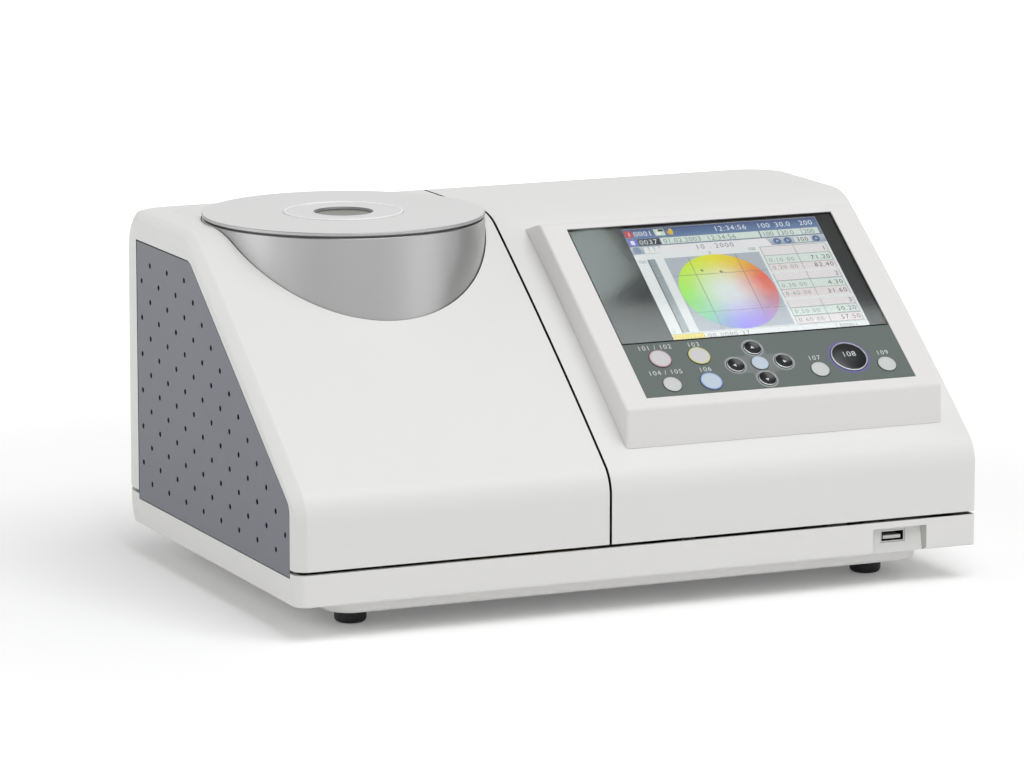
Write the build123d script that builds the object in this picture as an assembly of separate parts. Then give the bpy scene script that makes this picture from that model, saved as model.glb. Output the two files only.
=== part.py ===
from build123d import *
from math import asin, atan2, cos, degrees, hypot, radians, sin, sqrt, tan
import os

# Benchtop colorimeter. Millimetres. X to the right, Y to the rear, Z up.
# The origin is on the bench, under the middle of the casing.

# ---- driving dimensions: casing ----
casing_width = 385.0
casing_depth = 261.0
casing_top = 187.0
slope_top_lead = 14.2
slope_foot_z = 70.7
slope_bulge = 2.1
slope_top_radius = 35.0
slope_foot_radius = 19.0
rear_radius = 25.0
side_edge_radius = 5.5
cover_wall = 3.0
cover_side_wall = 4.5
split_gap = 1.2
cut_run_out = 20.0
seam_gap = 1.6

# ---- driving dimensions: base tray ----
tray_depth = 17.2
tray_underside = 18.0
tray_wall = 3.0
tray_floor = 2.5
tray_bottom_radius = 8.0
plinth_underside = 10.0
plinth_side_setback = 24.0
plinth_front_setback = 12.0
plinth_rear_setback = 36.0
plinth_corner_radius = 15.0
foot_diameter = 16.6
foot_edge_radius = 2.5
foot_side_setback = 44.8
foot_front_setback = 39.5
foot_rear_setback = 58.5
foot_screw_diameter = 3.0
screw_gap = 0.1
foot_boss_diameter = 9.0
foot_boss_height = 9.0

# ---- driving dimensions: sample port ----
drum_diameter = 150.0
drum_right_margin = 2.4
drum_rear_margin = 16.5
drum_wall = 1.6
drum_skirt_gap = 1.0
drum_lip_width = 4.0
drum_lip_thickness = 1.2
drum_cover_gap = 0.45
rim_shadow_gap = 0.8
plate_rise = 2.8
plate_thickness = 1.7
plate_edge_radius = 0.7
port_ring_thickness = 3.0
port_ring_bore = 48.0
mask_flange_diameter = 63.6
mask_spigot_diameter = 60.0
mask_hole = 30.0
mask_proud = 0.5
mask_flange_thickness = 1.3
mask_spigot_thickness = 1.0
mask_bevel = 1.6
mask_clearance = 0.15
scoop_reach_x = 55.5
scoop_reach_y = 52.0
scoop_radius = 20.0
scoop_depth = 6.5

# ---- driving dimensions: integrating sphere and lamp ----
sphere_drum_gap = 4.0
sphere_floor_gap = 3.0
sphere_ring_gap = 0.8
sphere_wall = 3.0
sphere_flange_width = 7.0
sphere_flange_thickness = 3.0
sphere_port_gap = 4.1
sphere_neck_wall = 3.0
sphere_screw_inset = 3.2
sphere_screw_diameter = 2.0
sphere_screw_head = 3.8
side_port_bore = 28.0
side_port_collar = 34.0
cradle_outer = 84.0
cradle_wall = 6.0
cradle_gap = 0.1
lamp_width = 54.0
lamp_depth = 34.0
lamp_height = 46.0
lamp_gap_to_sphere = 1.5
lamp_tube_diameter = 16.0
lamp_tube_length = 12.0
capacitor_diameter = 28.0
capacitor_length = 62.0
capacitor_setback = 21.0

# ---- driving dimensions: slide ----
slide_travel = 90.0
rod_diameter = 8.0
rod_setback = 35.5
rod_drop = 9.5
rod_running_gap = 0.05
rod_block_length = 8.0
rod_block_width = 20.0
rod_block_rise = 6.8
rod_corner_gap = 6.5
bush_length = 20.0
bush_width = 18.0
bush_drop = 6.0
bush_setback = 10.0
stop_gap = 0.5
carriage_plate_thickness = 3.0
carriage_lift = 2.8
carriage_wall_thickness = 2.0
carriage_wall_gap = 0.1
bay_floor_thickness = 1.5
bay_floor_setback = 48.5

# ---- driving dimensions: side grille ----
grille_thickness = 2.0
grille_gap = 0.6
grille_seat_gap = 0.2
grille_rear_setback = 32.3
grille_front_setback = 10.1
grille_top_drop = 14.8
grille_bottom_z = 32.4
grille_slope_top_setback = 6.2
grille_slope_foot_drop = 2.2
grille_corner_radius = 7.0
grille_land = 6.0
grille_hole = 3.0
grille_pitch_y = 25.7
grille_pitch_z = 19.66
grille_first_hole_setback = 20.4
grille_first_hole_drop = 10.8
grille_hole_margin = 5.0

# ---- driving dimensions: bezel, screen and keypad ----
bezel_setback = 14.3
bezel_band_height = 20.8
bezel_lean = 0.53
bezel_ridge_setback = 57.72
bezel_back_angle = 16.0
bezel_back_run = 34.0
bezel_edge_radius = 1.6
bezel_wall = 2.5
bezel_plate = 3.2
bezel_seat_gap = 0.2
panel_bottom = 7.2
panel_top = 5.1
panel_split = 38.4
panel_split_gap = 0.5
panel_fit = 0.2
panel_sink = 0.2
panel_ledge = 1.0
glass_thickness = 1.5
keypad_thickness = 2.0
screen_gap = 0.2
screen_thickness = 8.0
screen_width = 126.0
screen_offset = 26.0
screen_right_margin = 4.0
screen_rail_width = 3.0
key_board_depth = 6.6
key_board_thickness = 1.6
key_board_margin = 3.0
key_hole_gap = 0.25
key_proud = 0.7
key_flange = 0.4
key_flange_thickness = 1.2
key_flange_gap = 0.3
key_travel = 0.8
key_edge_radius = 0.35
small_key = 10.0
ring_key = 12.0
measure_key_size = 20.4
enter_key_size = 9.4
key_column_1 = 17.4
key_column_2 = 39.8
key_row_high = 33.5
key_row_low = 15.0
cross_column = 71.8
cross_centre_u = 25.0
cross_reach_x = 14.0
cross_reach_u = 11.2
right_key_gaps = (8.2, 4.7, 4.2, 7.7)
side_key_u = 17.2
measure_key_u = 24.5

# ---- driving dimensions: transmission receiver ----
chamber_width = 38.9
receiver_wall_thickness = 2.5
liner_gap = 0.3
liner_thickness = 2.0
liner_bottom_gap = 1.2
lens_flange = 36.0
lens_proud = 3.0
spectrometer_length = 88.0
spectrometer_depth = 74.0
spectrometer_height = 42.0
spectrometer_edge = 3.0

# ---- driving dimensions: circuit boards and rear connectors ----
board_thickness = 1.6
board_post_diameter = 7.0
board_post_height = 8.0
board_left_setback = 14.0
board_right_setback = 20.5
board_front_setback = 46.5
board_rear_setback = 44.5
board_hole_inset = 6.0
board_screw_diameter = 3.0
board_screw_head = 5.6
connector_plate_width = 112.0
connector_plate_height = 40.0
connector_plate_setback = 80.5
connector_plate_z = 74.0
connector_plate_thickness = 2.0
connector_plate_lap = 5.0
connector_frame_depth = 3.0
connector_gaps = (2.5, 5.5, 9.5, 12.0, 3.5)
switch_width = 15.0
switch_height = 21.0
switch_bezel = 2.0
switch_depth = 12.0
rocker_gap = 0.4
rocker_tilt = 12.0
rocker_pin_radius = 1.5
inlet_diameter = 11.0
inlet_bore = 6.4
inlet_depth = 11.0
usb_b_width = 12.0
usb_b_height = 10.8
serial_width = 31.0
serial_height = 12.6
front_usb_setback = 47.5
front_usb_z = 26.4
front_usb_width = 14.0
front_usb_height = 6.2
front_usb_length = 14.0
front_usb_wall = 0.6
usb_recess_width = 27.0
usb_recess_depth = 3.2
usb_recess_top = 31.4
usb_recess_setback = 45.0
usb_recess_flare = 3.0
usb_pad_thickness = 6.2
usb_board_overhang = 6.0
cable_slot_length = 60.0
cable_slot_width = 12.0
cable_slot_depth = 30.0

# ---- driving dimensions: screws that join base and cover ----
cover_boss_diameter = 10.0
cover_boss_height = 17.0
carriage_boss_height = 18.0
boss_web_thickness = 2.4
cover_screw_diameter = 3.5
cover_screw_head = 6.4
cover_screw_head_height = 2.2
cover_screw_recess = 3.0
cover_screw_inset = 18.0

# ---- places worked out from the sizes above ----
side_x = casing_width / 2
front_y = -casing_depth / 2
rear_y = casing_depth / 2
tray_rim = tray_underside + tray_depth
cover_bottom = tray_rim + seam_gap

# The width that the drum and the panel leave over is shared out between their margins.
panel_width = screen_offset + screen_width + screen_right_margin
spare_width = casing_width - drum_diameter - drum_right_margin - split_gap - panel_width
margin_shares = (20.0, 14.9, 14.2, 12.8, 13.5)
drum_left_margin, bezel_left_margin, panel_left, panel_right, bezel_right_margin = (
    spare_width * share / sum(margin_shares) for share in margin_shares
)
drum_radius = drum_diameter / 2
drum_inner = drum_radius - drum_wall
port_x = drum_left_margin + drum_radius - side_x
port_y = rear_y - drum_rear_margin - drum_radius
left_cover_end = port_x + drum_radius + drum_right_margin
right_cover_start = left_cover_end + split_gap
cover_split_x = (left_cover_end + right_cover_start) / 2
slope_top_y = port_y - slope_top_lead
foot_x = side_x - foot_side_setback
foot_front_y = front_y + foot_front_setback
foot_rear_y = rear_y - foot_rear_setback
tray_floor_top = tray_underside + tray_floor
plinth_floor_top = plinth_underside + tray_floor
plate_underside = casing_top + plate_rise
drum_top = plate_underside - rim_shadow_gap
ring_underside = plate_underside - port_ring_thickness
scoop_x = port_x - scoop_reach_x
scoop_y = port_y + scoop_reach_y
carriage_bottom = tray_rim + carriage_lift
carriage_top = carriage_bottom + carriage_plate_thickness
rod_z = carriage_bottom - rod_drop

# The sphere is the largest that fits inside the drum and between the carriage and the port.
sphere_room = ring_underside - sphere_ring_gap - carriage_top - sphere_floor_gap
sphere_diameter = min(drum_diameter - 2 * sphere_drum_gap, sphere_room)
sphere_radius = sphere_diameter / 2
sphere_centre_z = carriage_top + sphere_floor_gap + sphere_radius
drum_skirt_z = sphere_centre_z + side_port_collar / 2 + drum_skirt_gap
sphere_flange_diameter = sphere_diameter + 2 * sphere_flange_width
sphere_screw_circle = sphere_flange_diameter - 2 * sphere_screw_inset
carriage_left = -side_x + cover_side_wall + 2.0
carriage_wall_left = left_cover_end - carriage_wall_thickness - carriage_wall_gap
sphere_flange_flat_x = carriage_wall_left - sphere_port_gap
rod_y = rear_y - rod_setback
bay_floor_depth = casing_depth - 2 * bay_floor_setback
rod_left = -side_x + tray_wall + rod_corner_gap
left_block_end = rod_left + rod_block_length
left_bush_x = left_block_end + stop_gap + slide_travel
right_bush_end = carriage_wall_left + carriage_wall_thickness - bush_setback
right_block_x = right_bush_end + stop_gap
rod_right = right_block_x + rod_block_length
grille_rear_y = rear_y - grille_rear_setback
grille_front_y = front_y + grille_front_setback
grille_top_z = casing_top - grille_top_drop
grille_slope_top_y = slope_top_y - grille_slope_top_setback
grille_slope_foot_z = slope_foot_z - grille_slope_foot_drop
grille_first_hole_y = grille_rear_y - grille_first_hole_setback
grille_first_hole_z = grille_top_z - grille_first_hole_drop
receiver_wall_x = right_cover_start + chamber_width
board_left_x = receiver_wall_x + board_left_setback
board_right_x = side_x - board_right_setback
board_front_y = front_y + board_front_setback
board_rear_y = rear_y - board_rear_setback
connector_plate_x = side_x - connector_plate_setback

# The connectors stand in a row in the opening and share the width that they leave over.
opening_width = connector_plate_width - 2 * connector_plate_lap
connector_spare = opening_width - serial_width - usb_b_width - inlet_diameter - switch_width
connector_gap = [connector_spare * gap / sum(connector_gaps) for gap in connector_gaps]
serial_x = connector_plate_x - opening_width / 2 + connector_gap[0] + serial_width / 2
usb_b_x = serial_x + serial_width / 2 + connector_gap[1] + usb_b_width / 2
inlet_x = usb_b_x + usb_b_width / 2 + connector_gap[2] + inlet_diameter / 2
switch_x = inlet_x + inlet_diameter / 2 + connector_gap[3] + switch_width / 2
front_usb_x = side_x - front_usb_setback
usb_recess_x = side_x - usb_recess_setback

# The slope is one long arc through its two ends.
slope_run = slope_top_y - front_y
slope_rise = casing_top - slope_foot_z
slope_chord = hypot(slope_run, slope_rise)
slope_angle = atan2(slope_rise, slope_run)
slope_middle = (
    front_y + slope_run / 2 - slope_bulge * sin(slope_angle),
    slope_foot_z + slope_rise / 2 + slope_bulge * cos(slope_angle),
)
slope_arc_radius = slope_chord**2 / (8 * slope_bulge) + slope_bulge / 2
slope_arc_centre = (
    slope_middle[0] + slope_arc_radius * sin(slope_angle),
    slope_middle[1] - slope_arc_radius * cos(slope_angle),
)


def slope_height(y):
    """Height of the sloping front above the bench at a depth y."""
    run = y - slope_arc_centre[0]
    return slope_arc_centre[1] + sqrt(slope_arc_radius**2 - run**2)


# The bezel's face is a plane with its own axes: x along the casing, u up the face, n out of it.
bezel_left_x = right_cover_start + bezel_left_margin
bezel_right_x = side_x - bezel_right_margin
bezel_face_length = slope_chord - bezel_ridge_setback
panel_length = bezel_face_length - panel_bottom - panel_top
face_angle = slope_angle - radians(bezel_lean)
face_front_y = front_y + bezel_setback
face_front_z = slope_height(face_front_y) + bezel_band_height
face_normal = (0, -sin(face_angle), cos(face_angle))
face_plane = Plane(
    origin=(bezel_left_x, face_front_y, face_front_z), x_dir=(1, 0, 0), z_dir=face_normal
)


def key_places():
    """Name, distance from the bezel's left side, distance up the face and diameter of each key."""
    cross_end = cross_column + cross_reach_x + small_key / 2
    spare = panel_width - cross_end - 2 * small_key - measure_key_size
    gaps = [spare * gap / sum(right_key_gaps) for gap in right_key_gaps]
    back_key_column = cross_end + gaps[0] + small_key / 2
    measure_key_column = back_key_column + small_key / 2 + gaps[1] + measure_key_size / 2
    print_key_column = measure_key_column + measure_key_size / 2 + gaps[2] + small_key / 2
    places = [
        ("sample_key", key_column_1, 0, key_row_high, ring_key),
        ("calibration_key", key_column_2, 0, key_row_high, ring_key),
        ("detail_key", key_column_1, 0, key_row_low, small_key),
        ("menu_key", key_column_2, 0, key_row_low, ring_key),
        ("up_key", cross_column, 0, cross_centre_u + cross_reach_u, small_key),
        ("down_key", cross_column, 0, cross_centre_u - cross_reach_u, small_key),
        ("left_key", cross_column, -cross_reach_x, cross_centre_u, small_key),
        ("right_key", cross_column, cross_reach_x, cross_centre_u, small_key),
        ("enter_key", cross_column, 0, cross_centre_u, enter_key_size),
        ("back_key", back_key_column, 0, side_key_u, small_key),
        ("measure_key", measure_key_column, 0, measure_key_u, measure_key_size),
        ("print_key", print_key_column, 0, side_key_u, small_key),
    ]
    return [
        (name, panel_left + column + shift, u, diameter)
        for name, column, shift, u, diameter in places
    ]


def block(x0, x1, y0, y1, z0, z1):
    """A box between two corners."""
    return Pos((x0 + x1) / 2, (y0 + y1) / 2, (z0 + z1) / 2) * Box(x1 - x0, y1 - y0, z1 - z0)


def post(x, y, z0, z1, diameter):
    """An upright cylinder between two heights."""
    return Pos(x, y, (z0 + z1) / 2) * Cylinder(diameter / 2, z1 - z0)


def lying(x, y0, y1, z, diameter):
    """A cylinder along Y."""
    return Pos(x, (y0 + y1) / 2, z) * Rot(90, 0, 0) * Cylinder(diameter / 2, y1 - y0)


def bar(x0, x1, y, z, diameter):
    """A cylinder along X."""
    return Pos((x0 + x1) / 2, y, z) * Rot(0, 90, 0) * Cylinder(diameter / 2, x1 - x0)


def corner(shape, x, y):
    """The vertex of a flat shape that lies nearest to a point."""
    return min(shape.vertices(), key=lambda v: hypot(v.X - x, v.Y - y))


def casing_section(bottom, inset=0.0):
    """Side view of the casing above a height, drawn with Y as its first axis and Z as its second."""
    low = bottom - inset
    top_end = (slope_top_y, casing_top)
    foot = (front_y, slope_foot_z)
    outline = [
        Line((rear_y, low), (rear_y, casing_top)),
        Line((rear_y, casing_top), top_end),
        ThreePointArc(top_end, slope_middle, foot),
        Line(foot, (front_y, low)),
        Line((front_y, low), (rear_y, low)),
    ]
    section = make_face(Curve() + outline)
    section = fillet(corner(section, rear_y, casing_top), rear_radius)
    section = fillet(corner(section, *top_end), slope_top_radius)
    section = fillet(corner(section, *foot), slope_foot_radius)
    if inset:
        section = offset(section, amount=-inset)
    return section


def plan_outline(side_inset, end_inset, front_radius):
    """Plan of the casing or the tray, with its large rear corners."""
    plan = Pos(0, 0) * Rectangle(casing_width - 2 * side_inset, casing_depth - 2 * end_inset)
    half_width = side_x - side_inset
    half_depth = rear_y - end_inset
    for sign in (-1, 1):
        plan = fillet(corner(plan, sign * half_width, half_depth), rear_radius - end_inset)
        plan = fillet(corner(plan, sign * half_width, -half_depth), front_radius)
    return plan


def casing_block(x0, x1, bottom, inset=0.0, side_inset=0.0):
    """The casing's solid form between two planes across X."""
    section = Plane.YZ * casing_section(bottom, inset)
    form = Pos(x0, 0, 0) * extrude(section, x1 - x0)
    front_radius = max(side_edge_radius - inset, 1.0)
    plan = Pos(0, 0, bottom - 1) * plan_outline(side_inset, inset, front_radius)
    return form & extrude(plan, casing_top - bottom + 2)


def rounded_end_block(x0, x1):
    """The casing's outer form with the edges of its end face rounded."""
    section = Plane.YZ * casing_section(cover_bottom)
    form = Pos(x0, 0, 0) * extrude(section, x1 - x0)
    end = -side_x if x0 < cover_split_x else side_x
    end_face = min(form.faces(), key=lambda f: abs(f.center().X - end))
    edges = [e for e in end_face.edges() if e.center().Z > cover_bottom + 1]
    form = fillet(edges, side_edge_radius)
    plan = plan_outline(0, 0, side_edge_radius)
    return form & extrude(Pos(0, 0, cover_bottom) * plan, casing_top)


def sphere_ball(radius):
    """A ball at the centre of the integrating sphere."""
    return Pos(port_x, port_y, sphere_centre_z) * Sphere(radius)


def grille_outline(margin=0.0):
    """Outline of the side grille, with Y as its first axis and Z as its second."""
    points = [
        (grille_rear_y, grille_bottom_z),
        (grille_rear_y, grille_top_z),
        (grille_slope_top_y, grille_top_z),
        (grille_front_y, grille_slope_foot_z),
        (grille_front_y, grille_bottom_z),
    ]
    outline = make_face(Polyline(*points, close=True))
    for point in (points[2], points[3]):
        outline = fillet(corner(outline, *point), grille_corner_radius)
    if margin:
        outline = offset(outline, amount=margin, kind=Kind.INTERSECTION)
    return outline


def grille_hole_places():
    """Centres of the staggered holes, kept clear of the grille's edge."""
    inner = grille_outline(-grille_hole_margin)
    rear = grille_rear_y
    rows = int((grille_first_hole_z - grille_bottom_z) / (grille_pitch_z / 2)) + 1
    columns = int((grille_rear_y - grille_front_y) / grille_pitch_y) + 2
    places = []
    for row in range(rows):
        z = grille_first_hole_z - row * grille_pitch_z / 2
        shift = grille_pitch_y / 2 if row % 2 else 0
        for column in range(columns):
            y = grille_first_hole_y + shift - column * grille_pitch_y
            if y < rear and inner.face().is_inside((y, z, 0)):
                places.append((y, z))
    return places


# ---- base ----
def cover_screw_places():
    """Where the right cover is screwed to the tray."""
    left = receiver_wall_x + receiver_wall_thickness + cover_boss_diameter
    right = side_x - cover_screw_inset
    beside_socket = front_usb_x - front_usb_width - cover_boss_diameter
    front = front_y + plinth_front_setback + tray_wall + cover_boss_diameter / 2
    rear = rear_y - cover_screw_inset
    return [(left, front), (beside_socket, front), (left, rear), (right, rear)]


def cover_screw_seat():
    return tray_underside + cover_screw_recess


def foot_places():
    return [(x, y) for x in (-foot_x, foot_x) for y in (foot_front_y, foot_rear_y)]


def board_hole_places():
    return [
        (x, y)
        for x in (board_left_x + board_hole_inset, board_right_x - board_hole_inset)
        for y in (board_front_y + board_hole_inset, board_rear_y - board_hole_inset)
    ]


def plinth_form(inset, z0, z1):
    """The raised part under the tray, at an inset from its outer faces."""
    left = -side_x + plinth_side_setback + inset
    right = side_x - plinth_side_setback - inset
    front = front_y + plinth_front_setback + inset
    rear = rear_y - plinth_rear_setback - inset
    outline = Pos((left + right) / 2, (front + rear) / 2) * Rectangle(right - left, rear - front)
    outline = fillet(outline.vertices(), plinth_corner_radius - inset)
    return extrude(Pos(0, 0, z0) * outline, z1 - z0)


def base_tray():
    """Moulded tray: floor, walls, hollow plinth, bosses and posts."""
    outer = Pos(0, 0, tray_underside) * plan_outline(0, 0, side_edge_radius)
    outer = extrude(outer, tray_rim - tray_underside)
    lower_edges = [e for e in outer.edges() if abs(e.center().Z - tray_underside) < 0.01]
    outer = fillet(lower_edges, tray_bottom_radius)
    plinth = plinth_form(0, plinth_underside, tray_floor_top)
    plinth = fillet([e for e in plinth.edges() if abs(e.center().Z - plinth_underside) < 0.01], 3.0)
    inner_plan = plan_outline(tray_wall, tray_wall, side_edge_radius - tray_wall)
    inner = extrude(Pos(0, 0, tray_floor_top) * inner_plan, tray_rim)
    inner = fillet(
        [e for e in inner.edges() if abs(e.center().Z - tray_floor_top) < 0.01],
        tray_bottom_radius - tray_wall,
    )
    tray = outer + plinth - inner - plinth_form(tray_wall, plinth_floor_top, tray_rim)
    # Thick pad behind the front socket, and its recess with flared sides.
    pad_half = usb_recess_width / 2 + usb_recess_flare + 2.0
    pad = block(
        usb_recess_x - pad_half,
        usb_recess_x + pad_half,
        front_y + tray_wall,
        front_y + usb_pad_thickness,
        tray_floor_top,
        tray_rim - 1.0,
    )
    tray += pad
    recess_back = front_y + usb_recess_depth
    half = usb_recess_width / 2
    flare = usb_recess_flare
    recess_plan = make_face(
        Polyline(
            (usb_recess_x - half, recess_back),
            (usb_recess_x + half, recess_back),
            (usb_recess_x + half + flare, front_y - 1.0),
            (usb_recess_x - half - flare, front_y - 1.0),
            close=True,
        )
    )
    tray -= extrude(Pos(0, 0, tray_underside - 1) * recess_plan, usb_recess_top - tray_underside + 1)
    tray -= block(
        front_usb_x - front_usb_width / 2 - panel_fit,
        front_usb_x + front_usb_width / 2 + panel_fit,
        front_y,
        front_y + usb_pad_thickness + 1,
        front_usb_z - front_usb_height / 2 - panel_fit,
        front_usb_z + front_usb_height / 2 + panel_fit,
    )
    # Notch for the foot of the side grille.
    tray -= block(
        -side_x - 1,
        -side_x + cover_side_wall,
        grille_front_y - grille_gap,
        grille_rear_y + grille_gap,
        grille_bottom_z - grille_gap,
        tray_rim + 1,
    )
    # Screw bosses for the cover, foot bosses and board posts.
    for x, y in cover_screw_places():
        bottom = plinth_underside + 1 if y < 0 else tray_underside + 1
        tray += post(x, y, bottom, cover_bottom, cover_boss_diameter)
    for x, y in foot_places():
        tray += post(x, y, plinth_underside + 1, plinth_underside + foot_boss_height, foot_boss_diameter)
    for x, y in board_hole_places():
        tray += post(x, y, plinth_underside + 1, plinth_floor_top + board_post_height, board_post_diameter)
    for x, y in cover_screw_places():
        tray -= post(x, y, 0, cover_bottom + 1, cover_screw_diameter + 2 * screw_gap)
        tray -= post(x, y, 0, cover_screw_seat(), cover_screw_head + 1.0)
    for x, y in foot_places():
        tray -= post(x, y, 0, cover_bottom, foot_screw_diameter + 2 * screw_gap)
    for x, y in board_hole_places():
        tray -= post(x, y, plinth_floor_top, cover_bottom, board_screw_diameter + 2 * screw_gap)
    # Ribs that carry the floor of the sample bay, and the ledge of the front socket's board.
    rib_y = bay_floor_depth / 2 - 4.0
    plinth_left = -side_x + plinth_side_setback
    rib_feet = ((carriage_left, tray_underside + 1), (plinth_left + 1, plinth_underside + 1))
    for y in (-rib_y, rib_y):
        for left, bottom in rib_feet:
            tray += block(left, receiver_wall_x, y - 1.0, y + 1.0, bottom, bay_floor_underside())
    for x in usb_board_edges():
        tray += block(
            x - 1.5,
            x + 1.5,
            front_y + usb_pad_thickness,
            front_y + plinth_front_setback + tray_wall,
            tray_floor_top - 1,
            usb_board_underside(),
        )
    return tray


def bay_floor_underside():
    return tray_rim - bay_floor_thickness


def usb_board_underside():
    return front_usb_z - front_usb_height / 2 - board_thickness


def usb_board_edges():
    reach = front_usb_width / 2 + 6.0
    return front_usb_x - reach + 2.0, front_usb_x + reach - 2.0


def rubber_feet():
    """Four round bumpers under the plinth."""
    feet = []
    for x, y in foot_places():
        foot = post(x, y, 0, plinth_underside, foot_diameter)
        foot = fillet(foot.edges().sort_by(Axis.Z)[0], foot_edge_radius)
        foot -= post(x, y, -1, plinth_underside + 1, foot_screw_diameter + 2 * screw_gap)
        foot -= post(x, y, -1, plinth_underside / 2, foot_screw_diameter + 4.4)
        feet.append(foot)
    return feet


def foot_screws():
    screws = []
    for x, y in foot_places():
        head_top = plinth_underside / 2
        head = post(x, y, head_top - 2.2, head_top, foot_screw_diameter + 2.6)
        shank = post(x, y, head_top, plinth_underside + foot_boss_height - 1, foot_screw_diameter)
        screws.append(head + shank)
    return screws


def cover_screws():
    screws = []
    for x, y in cover_screw_places():
        seat = cover_screw_seat()
        head = post(x, y, seat - cover_screw_head_height, seat, cover_screw_head)
        shank = post(x, y, seat, cover_bottom + cover_boss_height - 6.0, cover_screw_diameter)
        screws.append(head + shank)
    return screws


def guide_rods():
    return [bar(rod_left, rod_right, side * rod_y, rod_z, rod_diameter) for side in (-1, 1)]


def rod_blocks():
    """Four pillars that hold the ends of the guide rods."""
    blocks = []
    top = rod_z + rod_block_rise
    for side in (-1, 1):
        y = side * rod_y
        right_floor = tray_floor_top if side > 0 else plinth_floor_top
        for x, floor in ((rod_left, tray_floor_top), (right_block_x, right_floor)):
            pillar = block(
                x, x + rod_block_length, y - rod_block_width / 2, y + rod_block_width / 2, floor, top
            )
            bore = rod_diameter + 2 * rod_running_gap
            pillar -= bar(x - 1, x + rod_block_length + 1, y, rod_z, bore)
            blocks.append(pillar)
    return blocks


def chamber_floor():
    """Black sheet under the carriage, seen when the slide is open."""
    half = bay_floor_depth / 2
    return block(carriage_left, receiver_wall_x, -half, half, bay_floor_underside(), tray_rim)


# ---- right unit ----
def right_cover():
    """Moulded cover of the right half: open at the left, with screw bosses and a rear opening."""
    outer = rounded_end_block(right_cover_start, side_x)
    inner = casing_block(right_cover_start - 1, side_x, -cut_run_out, cover_wall, cover_side_wall)
    cover = outer - inner
    for x, y in cover_screw_places():
        boss = post(x, y, cover_bottom, cover_bottom + cover_boss_height, cover_boss_diameter)
        web_y = rear_y - cover_wall / 2 if y > 0 else front_y + cover_wall / 2
        web = block(
            x - boss_web_thickness / 2,
            x + boss_web_thickness / 2,
            min(y, web_y),
            max(y, web_y),
            cover_bottom,
            cover_bottom + cover_boss_height,
        )
        cover += (boss + web) & outer
        bore = cover_screw_diameter + 2 * screw_gap
        cover -= post(x, y, cover_bottom - 1, cover_bottom + cover_boss_height - 4, bore)
    # Thicker frame round the rear opening, which the connector plate sits against.
    half_width = connector_plate_width / 2
    half_height = connector_plate_height / 2
    lap = connector_plate_lap
    cover += block(
        connector_plate_x - half_width,
        connector_plate_x + half_width,
        rear_y - cover_wall - connector_frame_depth,
        rear_y - cover_wall,
        connector_plate_z - half_height,
        connector_plate_z + half_height,
    )
    cover -= block(
        connector_plate_x - half_width + lap,
        connector_plate_x + half_width - lap,
        rear_y - cover_wall - connector_frame_depth - 1,
        rear_y + 1,
        connector_plate_z - half_height + lap,
        connector_plate_z + half_height - lap,
    )
    # Slot for the flat cables of the screen and the keys.
    slot = Pos(screen_offset + screen_width / 2, panel_length / 2, -bezel_band_height)
    cover -= face_plane * (slot * Box(cable_slot_length, cable_slot_width, cable_slot_depth))
    return cover


def bezel_section(inset, face_inset, drop):
    """Side view of the bezel, at an inset from its walls and its face."""
    ridge_y = face_front_y + bezel_face_length * cos(face_angle)
    ridge_z = face_front_z + bezel_face_length * sin(face_angle)
    back = radians(bezel_back_angle)
    points = [
        (face_front_y, face_front_z - drop),
        (face_front_y, face_front_z),
        (ridge_y, ridge_z),
        (ridge_y + bezel_back_run * cos(back), ridge_z - bezel_back_run * sin(back)),
        (ridge_y + bezel_back_run * cos(back), ridge_z - drop - cut_run_out),
    ]
    section = make_face(Polyline(*points, close=True))
    if inset:
        shift = face_inset - inset
        section = offset(section, amount=-inset, kind=Kind.INTERSECTION)
        section = Pos(shift * sin(face_angle), -shift * cos(face_angle)) * section & section
    return section


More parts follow.
